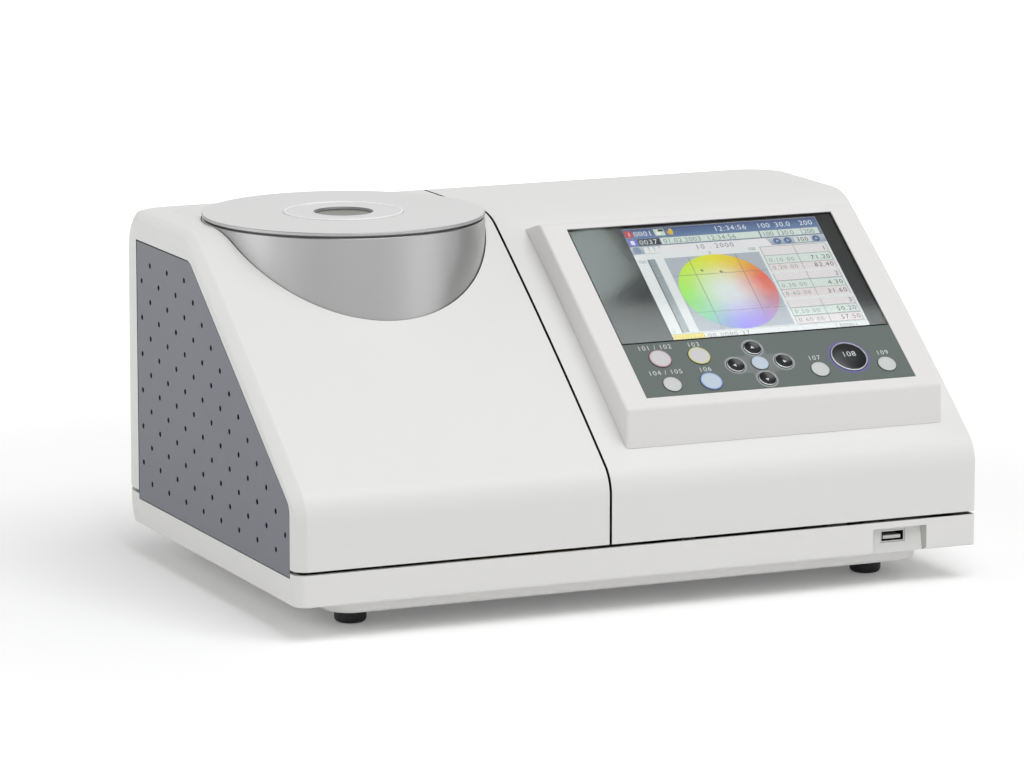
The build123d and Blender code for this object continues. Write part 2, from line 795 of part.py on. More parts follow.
def display_bezel():
    """Raised wedge that carries the screen and the keypad: hollow, with a ledged opening."""
    length = bezel_right_x - bezel_left_x
    drop = bezel_band_height + 12.0
    wedge = Pos(bezel_left_x, 0, 0) * extrude(Plane.YZ * bezel_section(0, 0, drop), length)
    # Round every edge that meets the face, and the two upright corners at the front.
    middle_u = bezel_face_length / 2
    face_middle = face_plane.from_local_coords(Vector(length / 2, middle_u, 0))
    face = min(wedge.faces(), key=lambda f: (f.center() - face_middle).length)
    edges = list(face.edges())
    middle_x = bezel_left_x + length / 2
    for edge in wedge.edges():
        if abs(edge.center().Y - face_front_y) < 0.01 and abs(edge.center().X - middle_x) > 1:
            edges.append(edge)
    wedge = fillet(edges, bezel_edge_radius)
    hollow = Pos(bezel_left_x + bezel_wall, 0, 0) * extrude(
        Plane.YZ * bezel_section(bezel_wall, bezel_plate, drop), length - 2 * bezel_wall
    )
    bezel = wedge - hollow
    opening = Pos(panel_left + panel_width / 2, panel_bottom + panel_length / 2, 0)
    pocket = opening * Box(panel_width + 2 * panel_fit, panel_length + 2 * panel_fit, 2 * pocket_depth())
    window = opening * Box(
        panel_width - 2 * panel_ledge, panel_length - 2 * panel_ledge, 2 * bezel_plate + 2.0
    )
    bezel -= face_plane * pocket
    bezel -= face_plane * window
    # Two rails under the screen and two under the key board tie the side walls to the modules.
    inner_left = bezel_wall - 1.0
    inner_right = length - bezel_wall + 1.0
    rail_top = -screen_depth() - screen_thickness
    for u in (panel_bottom + panel_split + 12.0, panel_bottom + panel_length - 12.0):
        rail = Pos((inner_left + inner_right) / 2, u, rail_top - screen_rail_width / 2)
        bezel += face_plane * (rail * Box(inner_right - inner_left, screen_rail_width, screen_rail_width))
    board_rail_top = -key_board_depth - key_board_thickness
    for u in (panel_bottom + key_board_margin + 2.0, panel_bottom + panel_split - key_board_margin - 2.0):
        rail = Pos((inner_left + inner_right) / 2, u, board_rail_top - screen_rail_width / 2)
        bezel += face_plane * (rail * Box(inner_right - inner_left, screen_rail_width, screen_rail_width))
    seat = casing_section(-cut_run_out, -bezel_seat_gap)
    casing = Pos(bezel_left_x - 5, 0, 0) * extrude(Plane.YZ * seat, length + 10)
    return bezel - casing


def pocket_depth():
    return panel_sink + keypad_thickness


def screen_depth():
    return panel_sink + glass_thickness + screen_gap


def display_glass():
    """Flat window over the screen, let into the bezel and resting on its ledge."""
    length = panel_length - panel_split - panel_split_gap / 2
    centre_u = panel_bottom + panel_length - length / 2
    pane = Pos(panel_left + panel_width / 2, centre_u, -panel_sink - glass_thickness / 2)
    pane = pane * Box(panel_width, length, glass_thickness)
    return face_plane * pane


def lcd_module():
    """Liquid crystal display with its metal frame, carried on the bezel's rails."""
    bottom = panel_bottom + panel_split + panel_split_gap
    top = panel_bottom + panel_length - panel_ledge - panel_fit
    depth = screen_depth()
    middle_x = panel_left + screen_offset + screen_width / 2
    module = Pos(middle_x, (bottom + top) / 2, -depth - screen_thickness / 2)
    return face_plane * (module * Box(screen_width, top - bottom, screen_thickness))


def keypad_panel():
    """Printed plate with a round hole for each key."""
    length = panel_split - panel_split_gap / 2
    plate = Pos(panel_left + panel_width / 2, panel_bottom + length / 2, -panel_sink - keypad_thickness / 2)
    plate = plate * Box(panel_width, length, keypad_thickness)
    for _, x, u, diameter in key_places():
        plate -= Pos(x, u, 0) * Cylinder(diameter / 2 + key_hole_gap, 4 * keypad_thickness)
    return face_plane * plate


def key_board():
    """Circuit board under the keys with a switch below each of them."""
    width = panel_width - 2 * key_board_margin
    length = panel_split - 2 * key_board_margin
    middle_depth = -key_board_depth - key_board_thickness / 2
    board = Pos(panel_left + panel_width / 2, panel_bottom + panel_split / 2, middle_depth)
    board = board * Box(width, length, key_board_thickness)
    switch_top = -key_bottom() - key_travel - key_flange_gap
    switch_height = switch_top + key_board_depth
    for _, x, u, _ in key_places():
        board += Pos(x, u, -key_board_depth + switch_height / 2) * Box(5.0, 5.0, switch_height)
    return face_plane * board


def key_bottom():
    return panel_sink + keypad_thickness + key_flange_gap + key_flange_thickness


def key_cap(x, u, diameter):
    """One push button: a round cap with a retaining flange under the keypad plate."""
    top = key_proud - panel_sink
    flange_top = -panel_sink - keypad_thickness - key_flange_gap
    cap = Pos(x, u, (top + flange_top) / 2) * Cylinder(diameter / 2, top - flange_top)
    cap = fillet(cap.edges().sort_by(Axis.Z)[-1], key_edge_radius)
    flange = Pos(x, u, flange_top - key_flange_thickness / 2)
    cap += flange * Cylinder(diameter / 2 + key_flange, key_flange_thickness)
    return face_plane * cap


def receiver_wall():
    """Black wall at the end of the sample bay, with the opening of the receiver."""
    wall = casing_block(
        receiver_wall_x,
        receiver_wall_x + receiver_wall_thickness,
        tray_floor_top + tray_bottom_radius - tray_wall,
        cover_wall + liner_gap,
    )
    return wall - bar(receiver_wall_x - 1, receiver_wall_x + 5, port_y, sphere_centre_z, side_port_bore)


def chamber_shroud():
    """Black liner of the sample bay, inside the right cover."""
    start = right_cover_start + split_gap / 2
    outer = casing_block(start, receiver_wall_x, cover_bottom + liner_bottom_gap, cover_wall + liner_gap)
    inner = casing_block(
        start - 1, receiver_wall_x + 1, -cut_run_out, cover_wall + liner_gap + liner_thickness
    )
    return outer - inner


def receiver_lens():
    """Lens with its collar, clamped in the receiver wall."""
    start = receiver_wall_x - lens_proud
    collar = bar(start, receiver_wall_x, port_y, sphere_centre_z, lens_flange)
    end = receiver_wall_x + receiver_wall_thickness
    barrel = bar(start, end, port_y, sphere_centre_z, side_port_bore - 2 * screw_gap)
    face_ball_radius = side_port_bore
    ball = Pos(start + 1.0 - face_ball_radius, port_y, sphere_centre_z) * Sphere(face_ball_radius)
    return collar + barrel - ball


def spectrometer_housing():
    """Die-cast optical box bolted behind the receiver wall."""
    start = receiver_wall_x + receiver_wall_thickness
    body = block(
        start,
        start + spectrometer_length,
        port_y - spectrometer_depth / 2,
        port_y + spectrometer_depth / 2,
        sphere_centre_z - spectrometer_height / 2,
        sphere_centre_z + spectrometer_height / 2,
    )
    return fillet(body.edges().filter_by(Axis.Z), spectrometer_edge)


# ---- boards and connectors ----
def main_circuit_board():
    """Main board on the tray's posts, with its larger parts."""
    bottom = plinth_floor_top + board_post_height
    top = bottom + board_thickness
    board = block(board_left_x, board_right_x, board_front_y, board_rear_y, bottom, top)
    for x, y in board_hole_places():
        board -= post(x, y, bottom - 1, top + 1, board_screw_diameter + 0.4)
    chips = (
        (0.3, 0.35, 24.0, 3.0),
        (0.62, 0.3, 16.0, 2.4),
        (0.35, 0.72, 18.0, 2.4),
        (0.7, 0.7, 30.0, 8.0),
    )
    for part_x, part_y, size, height in chips:
        x = board_left_x + part_x * (board_right_x - board_left_x)
        y = board_front_y + part_y * (board_rear_y - board_front_y)
        board += block(x - size / 2, x + size / 2, y - size / 2, y + size / 2, top, top + height)
    return board


def board_screws():
    screws = []
    for x, y in board_hole_places():
        seat = plinth_floor_top + board_post_height + board_thickness
        head = post(x, y, seat, seat + 2.0, board_screw_head)
        shank = post(x, y, plinth_floor_top + 1, seat, board_screw_diameter)
        screws.append(head + shank)
    return screws


def connector_plate_back():
    return rear_y - cover_wall - connector_frame_depth - liner_gap


def rear_connector_plate():
    """Metal plate behind the rear opening that carries the connectors."""
    back = connector_plate_back()
    plate = block(
        connector_plate_x - connector_plate_width / 2,
        connector_plate_x + connector_plate_width / 2,
        back - connector_plate_thickness,
        back,
        connector_plate_z - connector_plate_height / 2,
        connector_plate_z + connector_plate_height / 2,
    )
    front = back - connector_plate_thickness - 1
    plate -= block(
        switch_x - switch_width / 2 + switch_bezel - 0.5,
        switch_x + switch_width / 2 - switch_bezel + 0.5,
        front,
        back + 1,
        connector_plate_z - switch_height / 2 + switch_bezel - 0.5,
        connector_plate_z + switch_height / 2 - switch_bezel + 0.5,
    )
    plate -= lying(inlet_x, front, back + 1, connector_plate_z, inlet_diameter + 2 * screw_gap)
    sockets = (
        (usb_b_x, usb_b_width, usb_b_height),
        (serial_x, serial_width - 12.0, serial_height - 3.0),
    )
    z = connector_plate_z
    for x, width, height in sockets:
        plate -= block(x - width / 2, x + width / 2, front, back + 1, z - height / 2, z + height / 2)
    return plate


def power_switch_frame():
    """Snap-in frame of the rocker: flange outside the plate, box behind it."""
    back = connector_plate_back()
    flange = block(
        switch_x - switch_width / 2,
        switch_x + switch_width / 2,
        back,
        back + 1.5,
        connector_plate_z - switch_height / 2,
        connector_plate_z + switch_height / 2,
    )
    half_x = switch_width / 2 - switch_bezel
    half_z = switch_height / 2 - switch_bezel
    barrel = block(
        switch_x - half_x - 0.5,
        switch_x + half_x + 0.5,
        back - switch_depth,
        back,
        connector_plate_z - half_z - 0.5,
        connector_plate_z + half_z + 0.5,
    )
    well = block(
        switch_x - half_x + 0.7,
        switch_x + half_x - 0.7,
        back - switch_depth + 1.5,
        back + 2,
        connector_plate_z - half_z + 0.7,
        connector_plate_z + half_z - 0.7,
    )
    frame = flange + barrel - well
    for side in (-1, 1):
        wall_x = switch_x + side * (half_x - 0.7)
        bore = 2 * rocker_pin_radius + screw_gap
        frame -= bar(wall_x - 0.8, wall_x + 0.8, rocker_axis_y(), connector_plate_z, bore)
    return frame


def rocker_axis_y():
    return connector_plate_back() - 4.0


def power_rocker():
    """Rocker on two short pins, drawn tilted to its off position."""
    half_x = switch_width / 2 - switch_bezel - 0.7 - rocker_gap
    half_z = switch_height / 2 - switch_bezel - 0.7 - rocker_gap
    tilt = radians(rocker_tilt / 2)
    reach = half_z * cos(tilt) - 0.6
    crown = 4.6
    points = [(-reach, 0.0), (0, -1.6), (reach, 0.0), (reach, crown), (0, crown - 1.2), (-reach, crown)]
    profile = make_face(Polyline(*points, close=True))
    cap = extrude(Plane.YZ * (Rot(0, 0, -90) * profile), half_x, both=True)
    pins = Rot(0, 90, 0) * Cylinder(rocker_pin_radius, 2 * half_x + 1.6)
    rocker = cap + pins
    return Pos(switch_x, rocker_axis_y(), connector_plate_z) * Rot(rocker_tilt / 2, 0, 0) * rocker


def dc_inlet():
    """Round low-voltage socket with its centre pin."""
    back = connector_plate_back()
    body = lying(inlet_x, back - inlet_depth, back + 1.2, connector_plate_z, inlet_diameter)
    body -= lying(inlet_x, back - inlet_depth + 2, back + 2, connector_plate_z, inlet_bore)
    return body + lying(inlet_x, back - inlet_depth + 1, back, connector_plate_z, 2.0)


def usb_b_socket():
    back = connector_plate_back()
    z = connector_plate_z
    half_x = usb_b_width / 2
    half_z = usb_b_height / 2
    left = usb_b_x - half_x
    right = usb_b_x + half_x
    shell = block(left, right, back - 15, back + 0.8, z - half_z, z + half_z)
    shell -= block(left + 1.6, right - 1.6, back - 10, back + 2, z - half_z + 1.4, z + half_z - 1.4)
    return shell + block(usb_b_x - 2.8, usb_b_x + 2.8, back - 11, back - 1, z - 1.6, z + 1.6)


def serial_connector():
    """Nine-pin connector: flange, tapered shell and two hex posts."""
    back = connector_plate_back()
    z = connector_plate_z
    half_x = serial_width / 2
    half_z = serial_height / 2
    flange = block(serial_x - half_x, serial_x + half_x, back, back + 0.8, z - half_z, z + half_z)
    half = serial_width / 2 - 6.8
    shell_plan = make_face(
        Polyline((-half, 4.0), (half, 4.0), (half - 1.4, -4.0), (-half + 1.4, -4.0), close=True)
    )
    shell_plan = fillet(shell_plan.vertices(), 1.6)
    rim = extrude(shell_plan, 5.6) - extrude(Pos(0, 0, 0.8) * offset(shell_plan, amount=-0.6), 6.0)
    rim = Pos(serial_x, back, z) * Rot(-90, 0, 0) * rim
    plug = block(serial_x - half + 1, serial_x + half - 1, back - 8, back, z - 3.8, z + 3.8)
    connector = flange + rim + plug
    for side in (-1, 1):
        connector += lying(serial_x + side * (half_x - 3.2), back + 0.8, back + 4.0, z, 4.6)
    return connector


def front_usb_socket():
    """Metal shell with its tongue, standing on the small board behind the tray's front wall."""
    start = front_y + usb_recess_depth + 0.4
    half_x = front_usb_width / 2
    half_z = front_usb_height / 2
    shell = block(
        front_usb_x - half_x,
        front_usb_x + half_x,
        start,
        start + front_usb_length,
        front_usb_z - half_z,
        front_usb_z + half_z,
    )
    shell -= block(
        front_usb_x - half_x + front_usb_wall,
        front_usb_x + half_x - front_usb_wall,
        start - 1,
        start + front_usb_length - 2,
        front_usb_z - half_z + front_usb_wall,
        front_usb_z + half_z - front_usb_wall,
    )
    tongue = block(
        front_usb_x - half_x + 1.8,
        front_usb_x + half_x - 1.8,
        start + 0.8,
        start + front_usb_length - 1,
        front_usb_z - 1.6,
        front_usb_z + 0.2,
    )
    return shell + tongue


def front_usb_board():
    start = front_y + usb_pad_thickness + 0.3
    left, right = usb_board_edges()
    bottom = usb_board_underside()
    end = front_y + plinth_front_setback + tray_wall + usb_board_overhang
    return block(left - 2, right + 2, start, end, bottom, bottom + board_thickness)


# ---- sliding left unit ----
def carriage_boss_places():
    left = carriage_left + 10.0
    right = carriage_wall_left - 12.0
    front = front_y + cover_wall + 9.0
    rear = rear_y - cover_wall - 9.0
    return [(left, front), (right, front), (left + 14.0, rear), (right, rear)]


def carriage_plate():
    """Flat plate that carries the left unit over the tray's rim."""
    plan = plan_outline(cover_side_wall + 2.0, cover_wall + 2.0, 2.0)
    plate = extrude(Pos(0, 0, carriage_bottom) * plan, carriage_plate_thickness)
    right = carriage_wall_left + carriage_wall_thickness
    plate &= block(-side_x, right, front_y, rear_y, carriage_bottom, carriage_top)
    return plate


def slide_bushes():
    """Four bearing blocks under the carriage plate."""
    bushes = []
    for side in (-1, 1):
        y = side * rod_y
        for x in (left_bush_x, right_bush_end - bush_length):
            bush = block(
                x, x + bush_length, y - bush_width / 2, y + bush_width / 2, rod_z - bush_drop, carriage_bottom
            )
            bush -= bar(x - 1, x + bush_length + 1, y, rod_z, rod_diameter + 2 * rod_running_gap)
            bushes.append(bush)
    return bushes


def left_cover():
    """Moulded cover of the left half, cut open for the drum and the side grille."""
    outer = rounded_end_block(-side_x, left_cover_end)
    inner = casing_block(-side_x, left_cover_end + 1, -cut_run_out, cover_wall, cover_side_wall)
    cover = outer - inner
    # Finger scoop: a shallow dish of even wall beside the port plate.
    dish_radius = (scoop_radius**2 + scoop_depth**2) / (2 * scoop_depth)
    dish_centre = Pos(scoop_x, scoop_y, casing_top - scoop_depth + dish_radius)
    cover += dish_centre * Sphere(dish_radius + cover_wall) & outer
    cover -= dish_centre * Sphere(dish_radius)
    cut_radius = drum_radius + drum_cover_gap
    cover -= post(port_x, port_y, drum_skirt_z - cut_run_out, casing_top + cut_run_out, 2 * cut_radius)
    # Recess and opening for the side grille.
    recess = extrude(Plane.YZ * grille_outline(grille_gap), grille_recess_depth() + 5.0)
    cover -= Pos(-side_x - 5.0, 0, 0) * recess
    opening = extrude(Plane.YZ * grille_outline(-grille_land), cover_side_wall + 2)
    opening &= block(0, cover_side_wall + 2, front_y, rear_y, cover_bottom + grille_land, casing_top)
    cover -= Pos(-side_x - 1, 0, 0) * opening
    # Bosses that stand on the carriage plate.
    for x, y in carriage_boss_places():
        boss = post(x, y, carriage_top, carriage_top + carriage_boss_height, cover_boss_diameter)
        web_y = rear_y - cover_wall / 2 if y > 0 else front_y + cover_wall / 2
        web = block(
            x - boss_web_thickness / 2,
            x + boss_web_thickness / 2,
            min(y, web_y),
            max(y, web_y),
            carriage_top,
            carriage_top + carriage_boss_height,
        )
        cover += (boss + web) & outer
    return cover


def grille_recess_depth():
    return grille_thickness + grille_seat_gap


def side_grille():
    """Perforated grey side panel; its foot reaches below the cover into the tray's notch."""
    plate = extrude(Plane.YZ * grille_outline(), grille_thickness)
    holes = Sketch() + [Pos(y, z) * Circle(grille_hole / 2) for y, z in grille_hole_places()]
    plate -= extrude(Plane.YZ * holes, grille_thickness)
    return Pos(-side_x, 0, 0) * plate


def port_drum():
    """Brushed steel drum with an inward lip at its top edge."""
    drum = post(port_x, port_y, drum_skirt_z, drum_top, drum_diameter)
    drum -= post(port_x, port_y, drum_skirt_z - 1, drum_top + 1, 2 * drum_inner)
    lip_top = ring_underside
    lip = post(port_x, port_y, lip_top - drum_lip_thickness, lip_top, 2 * drum_inner + 0.4)
    lip -= post(port_x, port_y, lip_top - 5, lip_top + 1, 2 * (drum_inner - drum_lip_width))
    return drum + lip


def port_base_ring():
    """Machined ring between the sphere's neck, the drum's lip and the port plate."""
    ring = post(port_x, port_y, ring_underside, plate_underside, 2 * drum_inner - 0.4)
    return ring - post(port_x, port_y, ring_underside - 1, plate_underside + 1, port_ring_bore)


def neck_outer():
    return port_ring_bore + 2 * sphere_neck_wall


def sphere_side_cut():
    return bar(port_x, 0, port_y, sphere_centre_z, side_port_bore)


def sphere_flange(z0, z1):
    flange = post(port_x, port_y, z0, z1, sphere_flange_diameter)
    left = carriage_left + liner_gap
    return flange & block(left, sphere_flange_flat_x, front_y, rear_y, z0, z1)


def sphere_screw_places():
    radius = sphere_screw_circle / 2
    return [
        (port_x + radius * cos(radians(45 * step)), port_y + radius * sin(radians(45 * step)))
        for step in range(1, 8)
    ]


def sphere_half(upper):
    """One half of the integrating sphere with its clamping flange."""
    z0, z1 = (sphere_centre_z, sphere_centre_z + 2 * sphere_radius)
    flange_z = (sphere_centre_z, sphere_centre_z + sphere_flange_thickness)
    if not upper:
        z0, z1 = (sphere_centre_z - 2 * sphere_radius, sphere_centre_z)
        flange_z = (sphere_centre_z - sphere_flange_thickness, sphere_centre_z)
    span = 2 * sphere_flange_diameter
    half_space = block(port_x - span, port_x + span, port_y - span, port_y + span, z0, z1)
    half = (sphere_ball(sphere_radius) & half_space) + sphere_flange(*flange_z)
    if upper:
        neck_bottom = sphere_centre_z + sqrt(sphere_radius**2 - (neck_outer() / 2) ** 2) - 2
        half += post(port_x, port_y, neck_bottom, ring_underside, neck_outer())
    half -= sphere_ball(sphere_radius - sphere_wall)
    half -= sphere_side_cut()
    if upper:
        half -= post(port_x, port_y, sphere_centre_z, ring_underside + 1, port_ring_bore)
    for x, y in sphere_screw_places():
        bore = sphere_screw_diameter + 2 * screw_gap
        half -= post(x, y, flange_z[0] - 1, flange_z[1] + 1, bore)
    return half


def sphere_screws():
    screws = []
    for x, y in sphere_screw_places():
        top = sphere_centre_z + sphere_flange_thickness
        bottom = sphere_centre_z - sphere_flange_thickness
        head = post(x, y, top, top + 1.6, sphere_screw_head)
        screws.append(head + post(x, y, bottom, top, sphere_screw_diameter))
    return screws


def sphere_cradle():
    """Ring that stands on the carriage plate and carries the sphere."""
    middle = (cradle_outer - cradle_wall) / 2
    top = sphere_centre_z - sqrt(sphere_radius**2 - middle**2)
    cradle = post(port_x, port_y, carriage_top, top, cradle_outer)
    cradle -= post(port_x, port_y, carriage_top - 1, top + 1, cradle_outer - 2 * cradle_wall)
    return cradle - sphere_ball(sphere_radius + cradle_gap)


def transmission_port_ring():
    """Collar between the sphere's side port and the carriage wall."""
    ring = bar(sphere_flange_flat_x, carriage_wall_left, port_y, sphere_centre_z, side_port_collar)
    return ring - sphere_side_cut()


def carriage_wall():
    """Black end wall of the sliding unit with the transmission port."""
    right = carriage_wall_left + carriage_wall_thickness
    wall = casing_block(carriage_wall_left, right, carriage_top, cover_wall + liner_gap)
    return wall - bar(carriage_wall_left - 1, right + 1, port_y, sphere_centre_z, side_port_bore)


def lamp_housing():
    """Lamp box in front of the sphere, with a round mouth towards it."""
    rear = lamp_rear_y()
    body = block(
        port_x - lamp_width / 2,
        port_x + lamp_width / 2,
        rear - lamp_depth,
        rear,
        carriage_top,
        carriage_top + lamp_height,
    )
    body = fillet(body.edges().filter_by(Axis.Z), 3.0)
    return body - lying(port_x, rear - lamp_tube_length, rear + 1, lamp_z(), lamp_tube_diameter + 0.4)


def lamp_z():
    return carriage_top + lamp_height * 0.6


def lamp_rear_y():
    drop = sphere_centre_z - carriage_top - lamp_height
    return port_y - sqrt(sphere_radius**2 - drop**2) - lamp_gap_to_sphere


def flash_lamp():
    """Xenon tube in the mouth of the lamp housing."""
    rear = lamp_rear_y()
    return lying(port_x, rear - lamp_tube_length, rear - 1.0, lamp_z(), lamp_tube_diameter)


def lamp_capacitor():
    """Flash capacitor lying on the carriage plate."""
    y = front_y + capacitor_setback
    z = carriage_top + capacitor_diameter / 2
    x = port_x
    can = bar(x - capacitor_length / 2, x + capacitor_length / 2, y, z, capacitor_diameter)
    return fillet(can.edges(), 1.2)


def port_plate():
    """Silver disc on the drum, with the seat of the target mask."""
    top = plate_underside + plate_thickness
    plate = post(port_x, port_y, plate_underside, top, drum_diameter)
    plate = fillet(plate.edges().sort_by(Axis.Z)[-1], plate_edge_radius)
    plate -= post(port_x, port_y, plate_underside - 1, top + 1, mask_spigot_diameter + 2 * mask_clearance)
    seat = top + mask_proud - mask_flange_thickness
    return plate - post(port_x, port_y, seat, top + 1, mask_flange_diameter + 2 * mask_clearance)


def target_mask():
    """Ring in the port plate with the bevelled sample hole."""
    flange_top = plate_underside + plate_thickness + mask_proud
    seat = flange_top - mask_flange_thickness
    flange = post(port_x, port_y, seat, flange_top, mask_flange_diameter)
    flange = fillet(flange.edges().sort_by(Axis.Z)[-1], 0.3)
    mask = flange + post(port_x, port_y, seat - mask_spigot_thickness + 0.1, seat, mask_spigot_diameter)
    mask -= post(port_x, port_y, seat - 5, flange_top + 1, mask_hole)
    bevel = Pos(port_x, port_y, flange_top - mask_bevel / 2) * Cone(
        mask_hole / 2, mask_hole / 2 + mask_bevel, mask_bevel
    )
    return mask - bevel


# ---- write every piece ----
pieces = {
    "base_tray": base_tray(),
    "rubber_feet": rubber_feet(),
    "foot_screws": foot_screws(),
    "cover_screws": cover_screws(),
    "guide_rods": guide_rods(),
    "rod_blocks": rod_blocks(),
    "chamber_floor": chamber_floor(),
    "right_cover": right_cover(),
    "display_bezel": display_bezel(),
    "display_glass": display_glass(),
    "lcd_module": lcd_module(),
    "keypad_panel": keypad_panel(),
    "key_board": key_board(),
    "receiver_wall": receiver_wall(),
    "chamber_shroud": chamber_shroud(),
    "receiver_lens": receiver_lens(),
    "spectrometer_housing": spectrometer_housing(),
    "main_circuit_board": main_circuit_board(),
    "board_screws": board_screws(),
    "rear_connector_plate": rear_connector_plate(),
    "power_switch_frame": power_switch_frame(),
    "power_rocker": power_rocker(),
    "dc_inlet": dc_inlet(),
    "usb_b_socket": usb_b_socket(),
    "serial_connector": serial_connector(),
    "front_usb_socket": front_usb_socket(),
    "front_usb_board": front_usb_board(),
    "carriage_plate": carriage_plate(),
    "slide_bushes": slide_bushes(),
    "left_cover": left_cover(),
    "side_grille": side_grille(),
    "port_drum": port_drum(),
    "port_base_ring": port_base_ring(),
    "sphere_upper_half": sphere_half(True),
    "sphere_lower_half": sphere_half(False),
    "sphere_screws": sphere_screws(),
    "sphere_cradle": sphere_cradle(),
    "transmission_port_ring": transmission_port_ring(),
    "carriage_wall": carriage_wall(),
    "lamp_housing": lamp_housing(),
    "flash_lamp": flash_lamp(),
    "lamp_capacitor": lamp_capacitor(),
    "port_plate": port_plate(),
    "target_mask": target_mask(),
}
for name, x, u, diameter in key_places():
    pieces[name] = key_cap(x, u, diameter)

os.makedirs("parts", exist_ok=True)
for node, piece in pieces.items():
    if isinstance(piece, list):
        piece = Compound(children=[item.solid() for item in piece])
    export_step(piece, f"parts/{node}.step")
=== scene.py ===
from math import acos, atan2, cos, hypot, pi, radians, sin, sqrt, tan

import bmesh
import bpy
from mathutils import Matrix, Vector


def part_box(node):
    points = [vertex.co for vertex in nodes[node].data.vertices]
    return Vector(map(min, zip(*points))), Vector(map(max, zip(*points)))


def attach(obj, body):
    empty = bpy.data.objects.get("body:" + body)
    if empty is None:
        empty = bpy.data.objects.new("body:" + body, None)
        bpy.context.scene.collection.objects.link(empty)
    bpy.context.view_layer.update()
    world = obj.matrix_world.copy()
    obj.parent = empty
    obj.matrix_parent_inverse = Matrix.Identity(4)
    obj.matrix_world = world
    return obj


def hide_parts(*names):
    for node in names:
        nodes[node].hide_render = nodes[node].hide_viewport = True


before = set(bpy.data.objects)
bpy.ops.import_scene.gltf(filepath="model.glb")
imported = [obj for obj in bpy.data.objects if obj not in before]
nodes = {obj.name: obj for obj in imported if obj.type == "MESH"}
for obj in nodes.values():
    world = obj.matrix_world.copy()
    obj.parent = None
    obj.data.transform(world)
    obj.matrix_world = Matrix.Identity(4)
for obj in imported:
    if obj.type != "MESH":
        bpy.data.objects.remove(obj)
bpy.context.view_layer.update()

scene = bpy.context.scene
scene.view_settings.view_transform = "Standard"

# Studio: a camera with a long lens at eye height in front of the bench, to the left of the
# instrument.
camera_data = bpy.data.cameras.new("studio_camera")
camera_data.sensor_width = 36.0
camera_data.lens = 197.0
camera_data.clip_end = 100.0
camera = bpy.data.objects.new("studio_camera", camera_data)
camera.location = (-1.2006, -2.6793, 0.6387)
camera.rotation_euler = (radians(79.54), 0.0, radians(-23.83))
scene.collection.objects.link(camera)
scene.camera = camera

# Bench top: one large pale sheet, which keeps the instrument's soft shadow. What the camera, metal
# and glass see of it gets paler with the distance, up to white.


def wire(tree, out, into):
    """Join an output socket to an input socket."""
    tree.links.new(out, into)


def math_node(tree, operation, a, b=None, c=None):
    """A Math node whose inputs are numbers or other nodes' outputs."""
    node = tree.nodes.new("ShaderNodeMath")
    node.operation = operation
    for index, value in enumerate((a, b, c)):
        if value is None:
            continue
        if isinstance(value, (int, float)):
            node.inputs[index].default_value = value
        else:
            wire(tree, value, node.inputs[index])
    return node.outputs[0]


def eased(tree, value, low, high, first, last):
    """A value between low and high turned into one between first and last, with eased ends."""
    node = tree.nodes.new("ShaderNodeMapRange")
    node.interpolation_type = "SMOOTHSTEP"
    for input_name, number in (("From Min", low), ("From Max", high), ("To Min", first), ("To Max", last)):
        node.inputs[input_name].default_value = number
    wire(tree, value, node.inputs["Value"])
    return node.outputs[0]


def seen_directly(tree):
    """1 for what the camera sees, also in metal and through glass; 0 for light on matt surfaces."""
    path = tree.nodes.new("ShaderNodeLightPath").outputs
    either = math_node(tree, "MAXIMUM", path["Is Camera Ray"], path["Is Glossy Ray"])
    return math_node(tree, "MAXIMUM", either, path["Is Transmission Ray"])


bench_mesh = bpy.data.meshes.new("bench")
bench_mesh.from_pydata([(-14, -14, 0), (14, -14, 0), (14, 14, 0), (-14, 14, 0)], [], [(0, 1, 2, 3)])
bench = bpy.data.objects.new("bench", bench_mesh)
scene.collection.objects.link(bench)
bench_paper = bpy.data.materials.new("bench_paper")
bench_paper.use_nodes = True
paper = bench_paper.node_tree
paper.nodes.clear()
paper_out = paper.nodes.new("ShaderNodeOutputMaterial")
paper_matt = paper.nodes.new("ShaderNodeBsdfDiffuse")
paper_matt.inputs["Color"].default_value = (0.92, 0.92, 0.92, 1)
paper_glow = paper.nodes.new("ShaderNodeEmission")
paper_sum = paper.nodes.new("ShaderNodeAddShader")
paper_reach = paper.nodes.new("ShaderNodeVectorMath")
paper_reach.operation = "LENGTH"
wire(paper, paper.nodes.new("ShaderNodeTexCoord").outputs["Object"], paper_reach.inputs[0])
paper_level = eased(paper, paper_reach.outputs["Value"], 0.3, 1.3, 0.13, 0.75)
wire(paper, math_node(paper, "MULTIPLY", seen_directly(paper), paper_level), paper_glow.inputs["Strength"])
wire(paper, paper_matt.outputs[0], paper_sum.inputs[0])
wire(paper, paper_glow.outputs[0], paper_sum.inputs[1])
wire(paper, paper_sum.outputs[0], paper_out.inputs["Surface"])
bench_mesh.materials.append(bench_paper)

# Studio light: an even white room with three soft boxes. What metal and glass see of the room is
# a ring of pale and dim wall panels, which gets dimmer overhead.


def colour_ramp(tree, stops, fade="LINEAR"):
    """A ramp through stops of (position, colour); the first and the last stop are its ends."""
    node = tree.nodes.new("ShaderNodeValToRGB")
    node.color_ramp.interpolation = fade
    elements = node.color_ramp.elements
    for position, colour in stops[1:-1]:
        elements.new(position).color = (*colour, 1)
    for end, (position, colour) in ((elements[0], stops[0]), (elements[-1], stops[-1])):
        end.position = position
        end.color = (*colour, 1)
    return node


